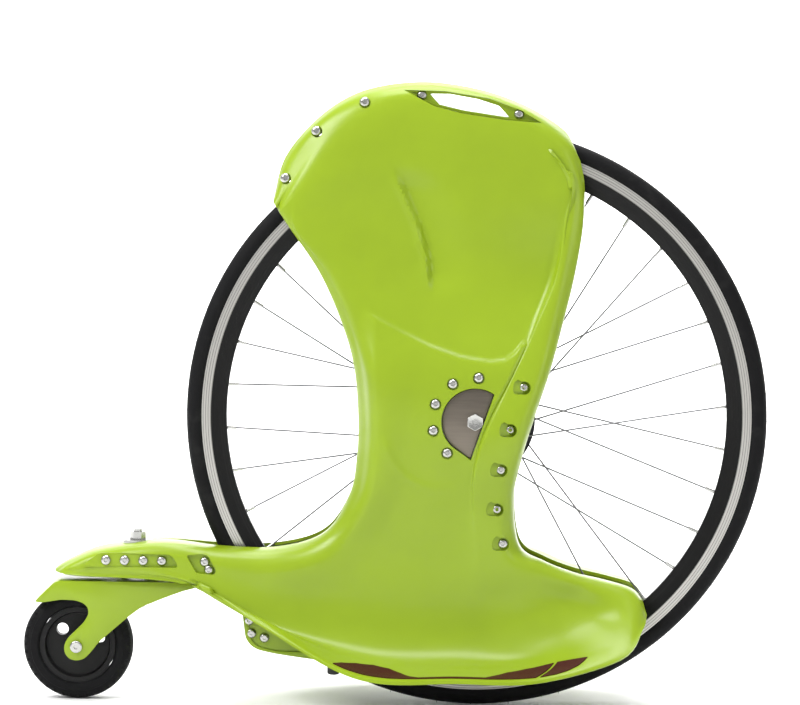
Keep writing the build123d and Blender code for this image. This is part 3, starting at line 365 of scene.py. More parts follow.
class Material:
    """A material being built: its tree, its shader and its object coordinates."""

    def __init__(self, name, colour, roughness, **settings):
        self.material = bpy.data.materials.new(name)
        self.material.use_nodes = True
        self.tree = self.material.node_tree
        self.shader = self.tree.nodes["Principled BSDF"]
        self.set("Base Color", colour)
        self.set("Roughness", roughness)
        for key, value in settings.items():
            self.set(key.replace("_", " "), value)

    def set(self, name, value):
        """Sets or links one socket of the shader."""
        self.connect(self.shader.inputs[name], value)

    def connect(self, socket, value):
        if isinstance(value, Socket):
            self.tree.links.new(value.link, socket)
        elif isinstance(value, (tuple, list)) and len(value) == 3 and socket.type == "RGBA":
            socket.default_value = (*value, 1)
        else:
            socket.default_value = value

    def node(self, kind, settings=None, inputs=None, output=0):
        """Adds a node: settings first, then its sockets by name or in order."""
        node = self.tree.nodes.new(kind)
        for key, value in (settings or {}).items():
            setattr(node, key, value)
        pairs = inputs.items() if isinstance(inputs, dict) else enumerate(inputs or [])
        for key, value in pairs:
            self.connect(node.inputs[key], value)
        return Socket(self, node.outputs[output])

    def coordinates(self):
        """Object coordinates, which are the shared frame's metres."""
        return self.node("ShaderNodeTexCoord", output="Object")

    def axis(self, vector, name):
        """One component of a vector."""
        return self.node("ShaderNodeSeparateXYZ", inputs=[vector], output=name)

    def radius(self, centre):
        """Distance from a turning axis along Y, in metres."""
        place = self.coordinates()
        dx = self.axis(place, "X") - centre.x
        dz = self.axis(place, "Z") - centre.z
        return (dx * dx + dz * dz).maths("POWER", 0.5)

    def noise(self, scale, detail=2.0, stretch=(1, 1, 1)):
        """Noise on object coordinates, stretched along the axes."""
        place = self.node("ShaderNodeMapping", inputs={"Vector": self.coordinates(), "Scale": stretch})
        return self.node("ShaderNodeTexNoise", output="Fac",
                         inputs={"Vector": place, "Scale": scale, "Detail": detail})

    def mix(self, factor, first, second):
        """A colour between two."""
        mix = self.tree.nodes.new("ShaderNodeMix")
        mix.data_type = "RGBA"
        for key, value in (("Factor", factor), ("A", first), ("B", second)):
            sockets = [s for s in mix.inputs if s.name == key and s.enabled]
            self.connect(sockets[0], value)
        return Socket(self, [s for s in mix.outputs if s.enabled][0])

    def bump(self, height, distance, strength=1.0):
        """Relief from a height between 0 and 1, at a real depth in metres."""
        self.set("Normal", self.node("ShaderNodeBump", inputs={
            "Height": height, "Distance": distance, "Strength": strength}, output="Normal"))


def green_plastic(finish):
    """Moulded green with a faint orange peel and a little wear in the gloss."""
    build = Material("moulded_green", tuple(finish.green), 0.3, Coat_Weight=0.12, Coat_Roughness=0.2, IOR=1.4)
    cloud = build.noise(9.0, 3.0)
    peel = build.noise(900.0, 2.0)
    wear = build.noise(140.0, 4.0)
    build.set("Base Color", build.mix(cloud.step(0.35, 0.7), tuple(finish.green),
                                      tuple(channel * 0.93 for channel in finish.green)))
    build.set("Roughness", 0.3 + wear.step(0.5, 0.8) * 0.08)
    build.bump(peel, 0.00008)
    return build.material


def tyre_rubber():
    """Black rubber with a fine dusty grain."""
    build = Material("tyre_rubber", (0.004, 0.004, 0.004), 0.62, Specular_IOR_Level=0.15)
    grain = build.noise(1500.0, 3.0)
    dust = build.noise(60.0, 4.0)
    build.set("Base Color", build.mix(dust.step(0.5, 0.8), (0.0035, 0.0035, 0.004), (0.009, 0.009, 0.009)))
    build.set("Roughness", 0.55 + grain * 0.2)
    build.bump(grain, 0.0003)
    return build.material


def black_rubber():
    """Plain black rubber of the small pads."""
    build = Material("black_rubber", (0.015, 0.015, 0.015), 0.7)
    build.bump(build.noise(1200.0, 2.0), 0.0002)
    return build.material


def black_rim():
    """Gloss black rim with turned bright tracks on its walls."""
    build = Material("rim_finish", (0.004, 0.004, 0.004), 0.3, Specular_IOR_Level=0.2)
    radius = build.radius(AXLE)
    inside = radius.step(0.3052, 0.3058)
    groove = (radius * math.tau / 0.0028).maths("SINE")
    line = groove.step(0.75, 0.95)
    track = inside * (1 - line * 0.75)
    build.set("Base Color", build.mix(track, (0.004, 0.004, 0.004), (0.52, 0.51, 0.48)))
    build.set("Metallic", track)
    build.set("Roughness", 0.28 + build.noise(400.0) * 0.12)
    build.bump(groove * 0.5 + 0.5, 0.00012)
    return build.material


def black_nylon():
    """Fine-grained black moulding."""
    build = Material("black_nylon", (0.008, 0.008, 0.008), 0.45, Specular_IOR_Level=0.2)
    grain = build.noise(1600.0, 2.0)
    build.set("Roughness", 0.38 + grain * 0.18)
    build.bump(grain, 0.00015)
    return build.material


def brown_grip(finish):
    """Grainy red-brown rubber."""
    build = Material("brown_grip", tuple(finish.grip), 0.6, Specular_IOR_Level=0.15)
    grain = build.noise(1100.0, 3.0)
    build.set("Base Color", build.mix(grain, tuple(0.8 * channel for channel in finish.grip),
                                      tuple(1.15 * channel for channel in finish.grip)))
    build.set("Roughness", 0.5 + grain * 0.25)
    build.bump(grain, 0.0004)
    return build.material


def brushed(name, colour, roughness, stretch, scale=90.0, depth=0.00005):
    """A metal with brush marks running along one direction."""
    build = Material(name, colour, roughness, Metallic=1.0)
    marks = build.noise(scale, 4.0, stretch)
    build.set("Base Color", build.mix(marks, tuple(0.82 * c for c in colour), tuple(min(1, 1.12 * c) for c in colour)))
    build.set("Roughness", roughness - 0.08 + marks * 0.2)
    build.bump(marks, depth)
    return build.material


def turned(name, colour, roughness, centre):
    """A metal face with fine turning rings about an axle."""
    build = Material(name, colour, roughness, Metallic=1.0)
    rings = (build.radius(centre) * 9000.0 + build.noise(60.0) * 3.0).maths("SINE") * 0.5 + 0.5
    build.set("Base Color", build.mix(rings, tuple(0.85 * c for c in colour), colour))
    build.set("Roughness", roughness + rings * 0.1)
    build.bump(rings, 0.00004)
    return build.material


def spoke_steel():
    """Dull drawn wire."""
    build = Material("spoke_steel", (0.16, 0.16, 0.165), 0.4, Metallic=0.6)
    marks = build.noise(300.0, 2.0)
    build.set("Roughness", 0.32 + marks * 0.2)
    build.bump(marks, 0.00002)
    return build.material


def hub_disc_metal(finish):
    """Grey-brown clamp disc, brushed level."""
    return brushed("hub_disc_metal", tuple(finish.disc), 0.38, (1.0, 1.0, 26.0), 26.0)


FINISHES = {
    "green_plastic": green_plastic,
    "brown_grip": brown_grip,
    "brushed_bronze": hub_disc_metal,
    "tyre_rubber": lambda finish: tyre_rubber(),
    "black_rubber": lambda finish: black_rubber(),
    "black_rim": lambda finish: black_rim(),
    "black_nylon": lambda finish: black_nylon(),
    "black_anodised": lambda finish: brushed("black_anodised", (0.03, 0.03, 0.032), 0.35, (1.0, 20.0, 1.0)),
    "aluminium": lambda finish: brushed("bare_aluminium", (0.72, 0.72, 0.72), 0.32, (1.0, 1.0, 12.0)),
    "bronze": lambda finish: turned("bearing_bronze", (0.5, 0.33, 0.14), 0.4, AXLE),
    "spoke_steel": lambda finish: spoke_steel(),
    "steel": lambda finish: brushed("zinc_steel", (0.50, 0.50, 0.48), 0.22, (6.0, 1.0, 6.0), 120.0),
}
materials = {}


def finish_named(slot):
    """The material of a slot, made the first time that it is asked for."""
    if slot not in materials:
        materials[slot] = FINISHES[slot](bpy.context.scene.cruiser_finish)
    return materials[slot]


# ---------------------------------------------------------------- settings
class CruiserShape(bpy.types.PropertyGroup):
    """Sizes of the fine shapes that finish the frame."""

    wall: FloatProperty(name="Shell wall", description="Thickness of the moulded shells", default=3.5 * MM,
                        unit="LENGTH")
    plateau: FloatProperty(name="Hub plateau", description="How far the hub area stands proud of the panel above it",
                           default=3.5 * MM, unit="LENGTH")
    crescent: FloatProperty(name="Crescent recess", description="Depth of the recess in front of the crescent ridge",
                            default=4.5 * MM, unit="LENGTH")
    scoop: FloatProperty(name="Panel scoop", description="How far the upper panel sinks towards the front rib",
                         default=8 * MM, unit="LENGTH")
    toe_well: FloatProperty(name="Toe well", description="Depth of the hollow under the brow of the deck",
                            default=8 * MM, unit="LENGTH")
    pocket_radius: FloatProperty(name="Screw pocket radius", description="Radius of the pockets in the front rib",
                                 default=7.6 * MM, unit="LENGTH")
    tyre_segments: IntProperty(name="Tyre segments", description="Steps around the main tyre", default=288, min=48)


class CruiserFinish(bpy.types.PropertyGroup):
    """Colours that a user may change."""

    green: FloatVectorProperty(name="Shell green", description="Colour of the moulded shells", size=3,
                               subtype="COLOR", min=0, max=1, default=(0.245, 0.355, 0.010))
    grip: FloatVectorProperty(name="Grip brown", description="Colour of the deck grip pads", size=3,
                              subtype="COLOR", min=0, max=1, default=(0.050, 0.008, 0.006))
    disc: FloatVectorProperty(name="Hub disc", description="Colour of the clamp discs at the axle", size=3,
                              subtype="COLOR", min=0, max=1, default=(0.20, 0.175, 0.145))


# ---------------------------------------------------------------- the shells
ROW_STEPS = [5, 6, 14, 16, 16, 18, 16, 14, 12, 12, 12, 8, 8, 8, 8, 8, 8, 3]
COLUMN_STEPS = [4, 4, 6, 28, 28, 28, 8, 8, 6, 6]


def refine_spans(points, steps):
    """Smooth curves through the points along the first axis, each span with its own number of steps."""
    padded = np.concatenate([2 * points[:1] - points[1:2], points, 2 * points[-1:] - points[-2:-1]])
    rows = []
    for i, count in enumerate(steps):
        p0, p1, p2, p3 = padded[i:i + 4]
        for step in range(count):
            t = step / count
            rows.append(0.5 * (2 * p1 + (p2 - p0) * t + (2 * p0 - 5 * p1 + 4 * p2 - p3) * t ** 2
                               + (3 * p1 - p0 - 3 * p2 + p3) * t ** 3))
    rows.append(points[-1])
    return np.array(rows)


def skin_points(shape):
    """The fine skin with its plateau, crescent recess, lip, ledge, panel scoop and toe well."""
    rows = refine_spans(SKIN_NET, ROW_STEPS)
    grid = refine_spans(rows.transpose(1, 0, 2), COLUMN_STEPS).transpose(1, 0, 2)
    x, out, z = grid[..., 0], grid[..., 1], grid[..., 2]
    foot = sum(COLUMN_STEPS[:6])
    across = np.arange(grid.shape[1])[None, :] / foot
    crease = np.interp(x, [-124, -87, -53, -18, 16, 33, 43, 52], [457, 437, 421, 409, 404, 406, 413, 424])
    below = crease - z
    plateau = (smooth_step(below, -2, 3) * (1 - smooth_step(below, 60, 150))
               * smooth_step(x, -132, -112) * (1 - smooth_step(across, 1.0, 1.03)))
    ridge = np.interp(z, [482, 517, 551, 590, 619], [-54, -57, -66, -83, -98])
    right = x - ridge
    crescent = (smooth_step(right, -1, 4) * (1 - smooth_step(right, 6, 60))
                * smooth_step(z, 470, 505) * (1 - smooth_step(z, 595, 625)))
    lip = np.exp(-((right + 3) / 4.5) ** 2) * smooth_step(z, 476, 510) * (1 - smooth_step(z, 590, 622))
    ledge_r = np.hypot(x + 40, z - 318)
    ledge = (np.exp(-((ledge_r - 62) / 5) ** 2) * (z < 318) * smooth_step(318 - z, 0, 20)
             * (1 - smooth_step(x, -60, 0)))
    scoop = (smooth_step(across, 0.5, 1.0) * (1 - smooth_step(across, 1.0, 1.03))
             * smooth_step(z, 420, 500) * (1 - smooth_step(z, 500, 590)))
    brow = np.interp(x, [40, 51, 76, 99, 145, 186, 200], [215, 198, 176, 162, 143, 131, 124])
    under = brow - z
    toe = (smooth_step(under, 0, 30) * (1 - smooth_step(under, 30, 75)) * smooth_step(x, 30, 120)
           * (1 - smooth_step(x, 135, 185)))
    moulding = ((plateau * shape.plateau - crescent * shape.crescent - scoop * shape.scoop - toe * shape.toe_well) / MM
                + lip * 2.2 + ledge * 1.2)
    grid[..., 1] = out + moulding
    return grid


def skin_out(grid, x, z):
    """How far out the skin is nearest to a point in side view."""
    flat = grid.reshape(-1, 3)
    return float(flat[np.argmin(np.hypot(flat[:, 0] - x, flat[:, 2] - z)), 1])


def wedge_pocket(x, z, radius):
    """A round outline that opens to the rear, with a high upper corner."""
    front = [(x + radius * math.cos(math.radians(a)), z + radius * math.sin(math.radians(a)))
             for a in range(-110, 111, 10)]
    rear = [(x - 0.9 * radius, z + 1.25 * radius), (x - 1.35 * radius, z + 0.95 * radius),
            (x - 1.6 * radius, z + 0.3 * radius), (x - 1.6 * radius, z - 0.4 * radius),
            (x - 1.45 * radius, z - 0.8 * radius), (x - 0.9 * radius, z - radius)]
    return front + rear


def ramp(cutter, grid, x, radius, below=0.0):
    """Lifts the rear of a pocket's floor up to the skin, so that it runs out as a wedge."""
    floor = max(vertex.co.y for vertex in cutter.data.vertices)
    for vertex in cutter.data.vertices:
        behind = (x - (vertex.co.x - AXLE.x) / MM) / (1.6 * radius)
        if vertex.co.y > floor - MM and behind > 0.2:
            top = skin_out(grid, (vertex.co.x - AXLE.x) / MM, vertex.co.z / MM) - below
            share = min(1.0, (behind - 0.2) / 0.8) ** 1.6
            vertex.co.y = floor * (1 - share) - top * MM * share if top * MM > -floor else floor


def circle(x, z, radius, count=32):
    """A round outline."""
    return [(x + radius * math.cos(math.tau * i / count), z + radius * math.sin(math.tau * i / count))
            for i in range(count)]


def grow(outline, amount):
    """The outline moved outwards from its middle by about an amount."""
    middle = sum((Vector(point) for point in outline), Vector((0, 0))) / len(outline)
    return [tuple(Vector(point) + (Vector(point) - middle).normalized() * amount) for point in outline]


def hub_window(gap):
    """The opening over the clamp disc: round at the rear, straight along the rib, pointed at its foot."""
    radius = WINDOW_RADIUS - gap
    points = [(radius * math.cos(math.radians(a)), HUB_HEIGHT + radius * math.sin(math.radians(a)))
              for a in range(56, 229, 4)]
    return points + [(-4.6 - 0.9 * gap, HUB_HEIGHT - 43.5 + 2 * gap)]


def hub_screw_places():
    """Side-view places of the screws around the hub window."""
    return [(SCREW_CIRCLE * math.cos(math.radians(a)), HUB_HEIGHT + 1.5 + SCREW_CIRCLE * math.sin(math.radians(a)))
            for a in HUB_SCREW_DEG]


def crest_seat(grid, x, z):
    """How far out a crest screw sits, a little under the skin around it."""
    return skin_out(grid, x, z) - 1.2


def cup(name, grid, outline, floor, wall=1.8, below=1.6):
    """The boss around a moulded pocket: from under its floor to just below the skin."""
    boss = prism(name, grow(outline, wall), floor - 2.5, floor + 10)
    high = -(floor + 5) * MM
    for vertex in boss.data.vertices:
        if vertex.co.y < high:
            top = skin_out(grid, (vertex.co.x - AXLE.x) / MM, vertex.co.z / MM) - below
            vertex.co.y = -max(top, floor - 1) * MM
    return boss


class CRUISER_OT_shells(bpy.types.Operator):
    """Builds the right shell as a fine walled skin with its pockets and windows, and its left twin"""

    bl_idname = "cruiser.shells"
    bl_label = "Moulded shells"

    def execute(self, context):
        shape = context.scene.cruiser_shape
        grid = skin_points(shape)
        shell = skin_mesh("right_moulded_shell", grid, -Y_AXIS)
        modify(shell, "SOLIDIFY", thickness=shape.wall, offset=-1.0)

        pocket_radius = shape.pocket_radius / MM
        cups = [(wedge_pocket(x, z, pocket_radius), out + 0.6) for x, z, out in RIB_SCREWS]
        cups += [(circle(x, z, SEAT_RADIUS), skin_out(grid, x, z) - 2.2) for x, z in hub_screw_places()]
        cups += [(round_outline(TAIL_POCKET, 6), 36.5), (round_outline(SPACER_POCKET, 4), 38.5)]
        bosses = [cup(f"boss_{i}", grid, outline, floor) for i, (outline, floor) in enumerate(cups)]
        bosses = join(bosses, "bosses")
        modify(shell, "BOOLEAN", operation="UNION", object=bosses, solver="MANIFOLD")
        cups += [(circle(x, z, SEAT_RADIUS), crest_seat(grid, x, z)) for x, z in CREST_SCREWS]
        cutters = [prism(f"cutter_{i}", outline, floor, floor + 40) for i, (outline, floor) in enumerate(cups)]
        for cutter, (x, z, out) in zip(cutters, RIB_SCREWS):
            ramp(cutter, grid, x, pocket_radius, 0.8)
        cutters.append(prism("lens_cutter", HANDLE_LENS, -3, 60))
        cutters.append(prism("window_cutter", hub_window(0), 40, 90))
        swing_middle = KINGPIN + Vector((0, 0, (SWING_GAP - SWING_DEPTH / 2) * MM))
        cutters.append(cylinder("swing_cutter", SWING_RADIUS, SWING_DEPTH, swing_middle, vertices=96))
        cutters = join(cutters, "cutters")
        modify(shell, "BOOLEAN", operation="DIFFERENCE", object=cutters, solver="MANIFOLD")
        for spare in (bosses, cutters):
            bpy.data.objects.remove(spare)
        smooth(shell, 34)
        twin = mirror_copy(shell, "left_moulded_shell")
        for obj, node in ((shell, "right_shell"), (twin, "left_shell")):
            finish_piece(obj, "frame", finish_named("green_plastic"), "green_plastic", node)
        return {"FINISHED"}


class CRUISER_OT_hub_discs(bpy.types.Operator):
    """Builds the brushed clamp discs in the hub windows and their axle bolts"""

    bl_idname = "cruiser.hub_discs"
    bl_label = "Hub discs and axle bolts"

    def execute(self, context):
        disc = prism("right_clamp_disc", hub_window(0.8), *DISC_OUT)
        modify(disc, "BEVEL", width=0.5 * MM, segments=2, limit_method="ANGLE")
        smooth(disc, 30)
        bolt = cylinder("right_axle_head", BOLT_HEAD_RADIUS, BOLT_HEAD_DEPTH,
                        AXLE - Y_AXIS * (DISC_OUT[1] - 0.6 + BOLT_HEAD_DEPTH / 2) * MM, vertices=6, across=True)
        modify(bolt, "BEVEL", width=0.8 * MM, segments=2, limit_method="ANGLE")
        edit(bolt, lambda face: face.normal.y < -0.99)
        bpy.ops.mesh.inset(thickness=2.2 * MM)
        bpy.ops.transform.translate(value=(0, 0.9 * MM, 0))
        bpy.ops.mesh.inset(thickness=2.6 * MM)
        bpy.ops.mesh.extrude_region_move(TRANSFORM_OT_translate={"value": (0, 3.5 * MM, 0)})
        done()
        smooth(bolt, 25)
        for obj, slot, node in ((disc, "brushed_bronze", "hub_disc"), (bolt, "steel", "axle_bolt")):
            twin = mirror_copy(obj, obj.name.replace("right", "left"))
            finish_piece(obj, "frame", finish_named(slot), slot, f"right_{node}")
            finish_piece(twin, "frame", finish_named(slot), slot, f"left_{node}")
        return {"FINISHED"}


# Deck grips in plan: forward of the axle, out from the wheel plane.
GRIP_PADS = [
    [(-157, 119), (-148, 106), (-132, 96), (-112, 92), (-94, 97), (-80, 110), (-70, 124), (-60, 131), (16, 131.5),
     (26, 121), (40, 108), (60, 101), (80, 99.5), (93, 99), (84, 116), (73, 134.5), (20, 137), (-60, 136.5),
     (-95, 135), (-122, 131), (-144, 125)],
    [(97, 99), (112, 100), (131, 101), (122, 113), (108, 124), (96, 129.5), (78, 134), (88, 116)],
]


class CRUISER_OT_grips(bpy.types.Operator):
    """Lays the thin rubber grips on the decks, following the moulded skin"""

    bl_idname = "cruiser.grips"
    bl_label = "Deck grips"

    def execute(self, context):
        grid = refine_spans(skin_points(context.scene.cruiser_shape)[-56:, 26:-4], [2] * 55)
        pad = skin_mesh("right_deck_grips", grid, Vector((0, 0, 1)))
        modify(pad, "DISPLACE", strength=0.9 * MM, mid_level=0.0)
        modify(pad, "SOLIDIFY", thickness=1.4 * MM, offset=-1.0)
        cutters = []
        for outline in GRIP_PADS:
            bpy.ops.object.select_all(action="DESELECT")
            bpy.ops.mesh.primitive_circle_add(vertices=len(outline), radius=1, fill_type="NGON")
            cutter = named("grip_outline")
            for vertex, (x, out) in zip(cutter.data.vertices, outline):
                vertex.co = (AXLE.x + x * MM, -out * MM, 20 * MM)
            edit(cutter)
            bpy.ops.mesh.extrude_region_move(TRANSFORM_OT_translate={"value": (0, 0, 90 * MM)})
            done()
            outward_normals(cutter)
            cutters.append(cutter)
        cutters = join(cutters, "grip_outlines")
        modify(pad, "BOOLEAN", operation="INTERSECT", object=cutters, solver="MANIFOLD")
        bpy.data.objects.remove(cutters)
        smooth(pad, 40)
        twin = mirror_copy(pad, "left_deck_grips")
        for obj, node in ((pad, "right_grip_pads"), (twin, "left_grip_pads")):
            finish_piece(obj, "frame", finish_named("brown_grip"), "brown_grip", node)
        return {"FINISHED"}


# ---------------------------------------------------------------- wheels
def tyre_profile(radius, half, wall, tread):
    """The closed section of a tyre as (radius, along) points, with tread grooves near its crown."""
    centre = radius - half
    points = []
    for step in range(33):
        angle = math.radians(-128 + 256 * step / 32)
        depth = tread if abs(angle) < 0.5 and step % 2 else 0
        points.append((centre + (half - depth) * math.cos(angle), half * math.sin(angle)))
    for step in range(17):
        angle = math.radians(128 - 256 * step / 16)
        points.append((centre + (half - wall) * math.cos(angle), (half - wall) * math.sin(angle)))
    return points


class CRUISER_OT_tyre(bpy.types.Operator):
    """Builds the main tyre with its shallow ribs and moulding whiskers"""

    bl_idname = "cruiser.tyre"
    bl_label = "Main tyre"

    def execute(self, context):
        shape = context.scene.cruiser_shape
        low, high = (Vector(corner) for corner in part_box("main_tyre"))
        radius = (high.x - low.x) / 2 / MM
        half = (high.y - low.y) / 2 / MM
        tyre = lathe("tyre", tyre_profile(radius, half, TYRE_WALL, TREAD_DEPTH), AXLE, shape.tyre_segments)
        smooth(tyre, 40)
        finish_piece(tyre, "main_wheel", finish_named("tyre_rubber"), "tyre_rubber", "main_tyre")
        bpy.ops.object.select_all(action="DESELECT")
        bpy.ops.mesh.primitive_cone_add(vertices=5, radius1=0.45 * MM, radius2=0.2 * MM, depth=3 * MM,
                                        location=(AXLE.x, 0, AXLE.z + (radius + 0.9) * MM))
        whisker = named("whisker")
        settle(whisker)
        whiskers = [whisker]
        for i in range(1, 84):
            activate(whisker)
            bpy.ops.object.duplicate()
            copy = named(f"whisker_{i}")
            turn = Matrix.Rotation(math.radians(i * 360 / 84 + 1.5 * math.sin(i * 2.4)), 4, "Y")
            lean = Matrix.Translation((0, (4.5 if i % 2 else -4.5) * MM, -1.0 * MM))
            copy.data.transform(Matrix.Translation(AXLE) @ turn @ lean @ Matrix.Translation(-AXLE))
            whiskers.append(copy)
        whiskers = join(whiskers, "tyre_whiskers")
        finish_piece(whiskers, "main_wheel", finish_named("tyre_rubber"), "tyre_rubber")
        return {"FINISHED"}


class CRUISER_OT_caster(bpy.types.Operator):
    """Builds the caster tyre with its shoulder blocks"""

    bl_idname = "cruiser.caster"
    bl_label = "Caster wheel"

    def execute(self, context):
        low, high = (Vector(corner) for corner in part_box("caster_tyre"))
        radius = (high.x - low.x) / 2 / MM
        half = (high.y - low.y) / 2 / MM
        profile = [(44.2, -half + 3), (46.5, -half + 0.6), (50, -half), (54, -half + 0.4), (54.6, -half + 1.2),
                   (57.5, -half + 2.0), (60.5, -half + 4.2), (62.4, -half + 7.5), (63.3, -5.2), (62.3, -4.7),
                   (62.3, -4.0),
                   (radius, -3.4), (radius, -0.6), (62.5, -0.35)]
        profile = profile + [(r, -a) for r, a in reversed(profile)]
        tyre = lathe("caster_tread", profile, CASTER_AXLE, 120)
        smooth(tyre, 35)
        finish_piece(tyre, "caster_wheel", finish_named("tyre_rubber"), "tyre_rubber", "caster_tyre")
        bpy.ops.object.select_all(action="DESELECT")
        bpy.ops.mesh.primitive_cube_add(size=1, location=CASTER_AXLE + Vector((0, -(half - 3.4) * MM, 59 * MM)),
                                        scale=(3.2 * MM, 2.2 * MM, 5.5 * MM))
        block = named("tread_block")
        settle(block)
        modify(block, "BEVEL", width=0.5 * MM, segments=1)
        blocks = [block]
        for side in (1, -1):
            for i in range(40):
                activate(block)
                bpy.ops.object.duplicate()
                copy = named(f"block_{side}_{i}")
                turn = Matrix.Rotation(math.tau * (i + (0.5 if side < 0 else 0)) / 40, 4, "Y")
                copy.data.transform(Matrix.Translation(CASTER_AXLE) @ turn @ Matrix.Scale(side, 4, Y_AXIS)
                                    @ Matrix.Translation(-CASTER_AXLE))
                blocks.append(copy)
        blocks = join(blocks, "caster_tread_blocks")
        outward_normals(blocks)
        finish_piece(blocks, "caster_wheel", finish_named("tyre_rubber"), "tyre_rubber")
        return {"FINISHED"}


FORK_SIDE = [(-507, 115), (-482, 139.4), (-430, 139.8), (-355, 139.8), (-330, 138.6), (-312, 136), (-336, 129.5),
             (-358, 121), (-382, 111), (-398, 99), (-415, 84), (-432, 69), (-441, 57), (-449, 49), (-457.8, 47),
             (-466, 49), (-471.5, 56), (-472, 65), (-468, 73), (-458, 83), (-449, 92), (-444, 101), (-444, 108),
             (-449, 114), (-459, 117.5), (-476, 118), (-499, 114)]


class CRUISER_OT_fork(bpy.types.Operator):
    """Builds the green caster fork with its rounded cheeks and bevelled fender"""

    bl_idname = "cruiser.fork"
    bl_label = "Caster fork"

    def execute(self, context):
        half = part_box("caster_fork")[1][1] / MM
        inner = half - FORK_WALL
        fork = prism("green_fork", round_outline(FORK_SIDE, 5, 3), -half, half)
        channel = prism("channel", [(-530, 30), (-290, 30), (-290, 126), (-340, 133), (-355, 135), (-480, 135),
                                    (-505, 111)], -inner, inner)
        modify(fork, "BOOLEAN", operation="DIFFERENCE", object=channel, solver="MANIFOLD")
        bpy.data.objects.remove(channel)
        sleeve = cylinder("sleeve", 11, 20, KINGPIN - Vector((0, 0, 12 * MM)))
        modify(fork, "BOOLEAN", operation="UNION", object=sleeve, solver="MANIFOLD")
        bores = join([cylinder("kingpin_bore", 5.05, 200, KINGPIN),
                      cylinder("axle_bore", 4.05, 200, CASTER_AXLE, across=True)], "bores")
        modify(fork, "BOOLEAN", operation="DIFFERENCE", object=bores, solver="MANIFOLD")
        for spare in (sleeve, bores):
            bpy.data.objects.remove(spare)
        modify(fork, "BEVEL", width=1.2 * MM, segments=2, limit_method="ANGLE", angle_limit=math.radians(50))
        smooth(fork, 35)
        finish_piece(fork, "swivel_fork", finish_named("green_plastic"), "green_plastic", "caster_fork")
        return {"FINISHED"}


GUARD_SIDE = [(-276, 125), (-266, 108), (-263.5, 90), (-262, 78), (-256, 69), (-247, 64), (-228, 60), (-207, 57),
              (-176, 53), (-166, 58), (-166, 80), (-220, 103)]


class CRUISER_OT_guard(bpy.types.Operator):
    """Raises a rim around the screw recess on each side of the nose guard"""

    bl_idname = "cruiser.guard"
    bl_label = "Nose guard rims"

    def execute(self, context):
        outline = round_outline(GUARD_SIDE, 6, 3)
        middle = Vector((-222, 82))
        inner = [tuple(middle + (Vector(point) - middle) * 0.86) for point in outline]
        inner = [(x, max(z, 62.5)) for x, z in inner]
        rim = prism("right_guard_rim", outline, 31.8, 34.6)
        hollow = prism("guard_hollow", inner, 30, 40)
        modify(rim, "BOOLEAN", operation="DIFFERENCE", object=hollow, solver="MANIFOLD")
        bpy.data.objects.remove(hollow)
        modify(rim, "BEVEL", width=0.7 * MM, segments=2, limit_method="ANGLE", angle_limit=math.radians(50))
        smooth(rim, 35)
        twin = mirror_copy(rim, "left_guard_rim")
        for obj in (rim, twin):
            finish_piece(obj, "frame", finish_named("green_plastic"), "green_plastic")
        return {"FINISHED"}


# ---------------------------------------------------------------- screws
def button_screw():
    """One button-head screw with a hexagon socket, seated at the origin and facing the right-hand side."""
    profile = [(0.4, 0), (5.8, 0), (5.8, 0.7), (5.4, 1.6), (4.6, 2.5), (3.6, 3.1), (2.9, 3.3), (0.4, 3.3)]
    head = lathe("screw", [(r, -a) for r, a in profile], Vector((0, 0, 0)), 28)
    socket = cylinder("socket", 2.25, 4, (0, -3.1 * MM, 0), vertices=6, across=True)
    core = cylinder("core", 1.0, 2.6, (0, -1.4 * MM, 0), vertices=16, across=True)
    modify(head, "BOOLEAN", operation="UNION", object=core, solver="MANIFOLD")
    modify(head, "BOOLEAN", operation="DIFFERENCE", object=socket, solver="MANIFOLD")
    for spare in (socket, core):
        bpy.data.objects.remove(spare)
    smooth(head, 30)
    return head


class CRUISER_OT_screws(bpy.types.Operator):
    """Sets a detailed button screw on every screw seat of both sides"""

    bl_idname = "cruiser.screws"
    bl_label = "Shell screws"

    def execute(self, context):
        grid = skin_points(context.scene.cruiser_shape)
        groups = {
            "hub_screws": [(x, skin_out(grid, x, z) - 2.1, z) for x, z in hub_screw_places()],
            "rib_screws": [(x, out + 0.7, z) for x, z, out in RIB_SCREWS],
            "crest_screws": [(x, crest_seat(grid, x, z) + 0.1, z) for x, z in CREST_SCREWS],
            "handle_screws": [(x, 15, z) for x, z in HANDLE_SCREWS],
            "nose_screws": [(x, 32, z) for x, z in NOSE_SCREWS],
            "tail_screws": [(x, 37, z) for x, z in TAIL_SCREWS] + [(x, 39, z) for x, z in SPACER_SCREWS],
        }
        screw = button_screw()
        for group, seats in groups.items():
            copies = []
            for i, (x, out, z) in enumerate(seats):
                for side in (-1, 1):
                    activate(screw)
                    bpy.ops.object.duplicate()
                    copy = named(f"{group}_{i}_{side}")
                    twist = Matrix.Rotation(math.radians(37 * i + 11), 4, "Y")
                    half_turn = Matrix.Rotation(math.pi, 4, "Z") if side > 0 else Matrix.Identity(4)
                    place = Matrix.Translation((AXLE.x + x * MM, side * out * MM, z * MM))
                    copy.data.transform(place @ half_turn @ twist)
                    copies.append(copy)
            piece = join(copies, f"fine_{group}")
            nodes = [group] if group in frame["nodes"] else [f"right_{group}", f"left_{group}"]
            finish_piece(piece, "frame", finish_named("steel"), "steel", *nodes)
        bpy.data.objects.remove(screw)
        return {"FINISHED"}


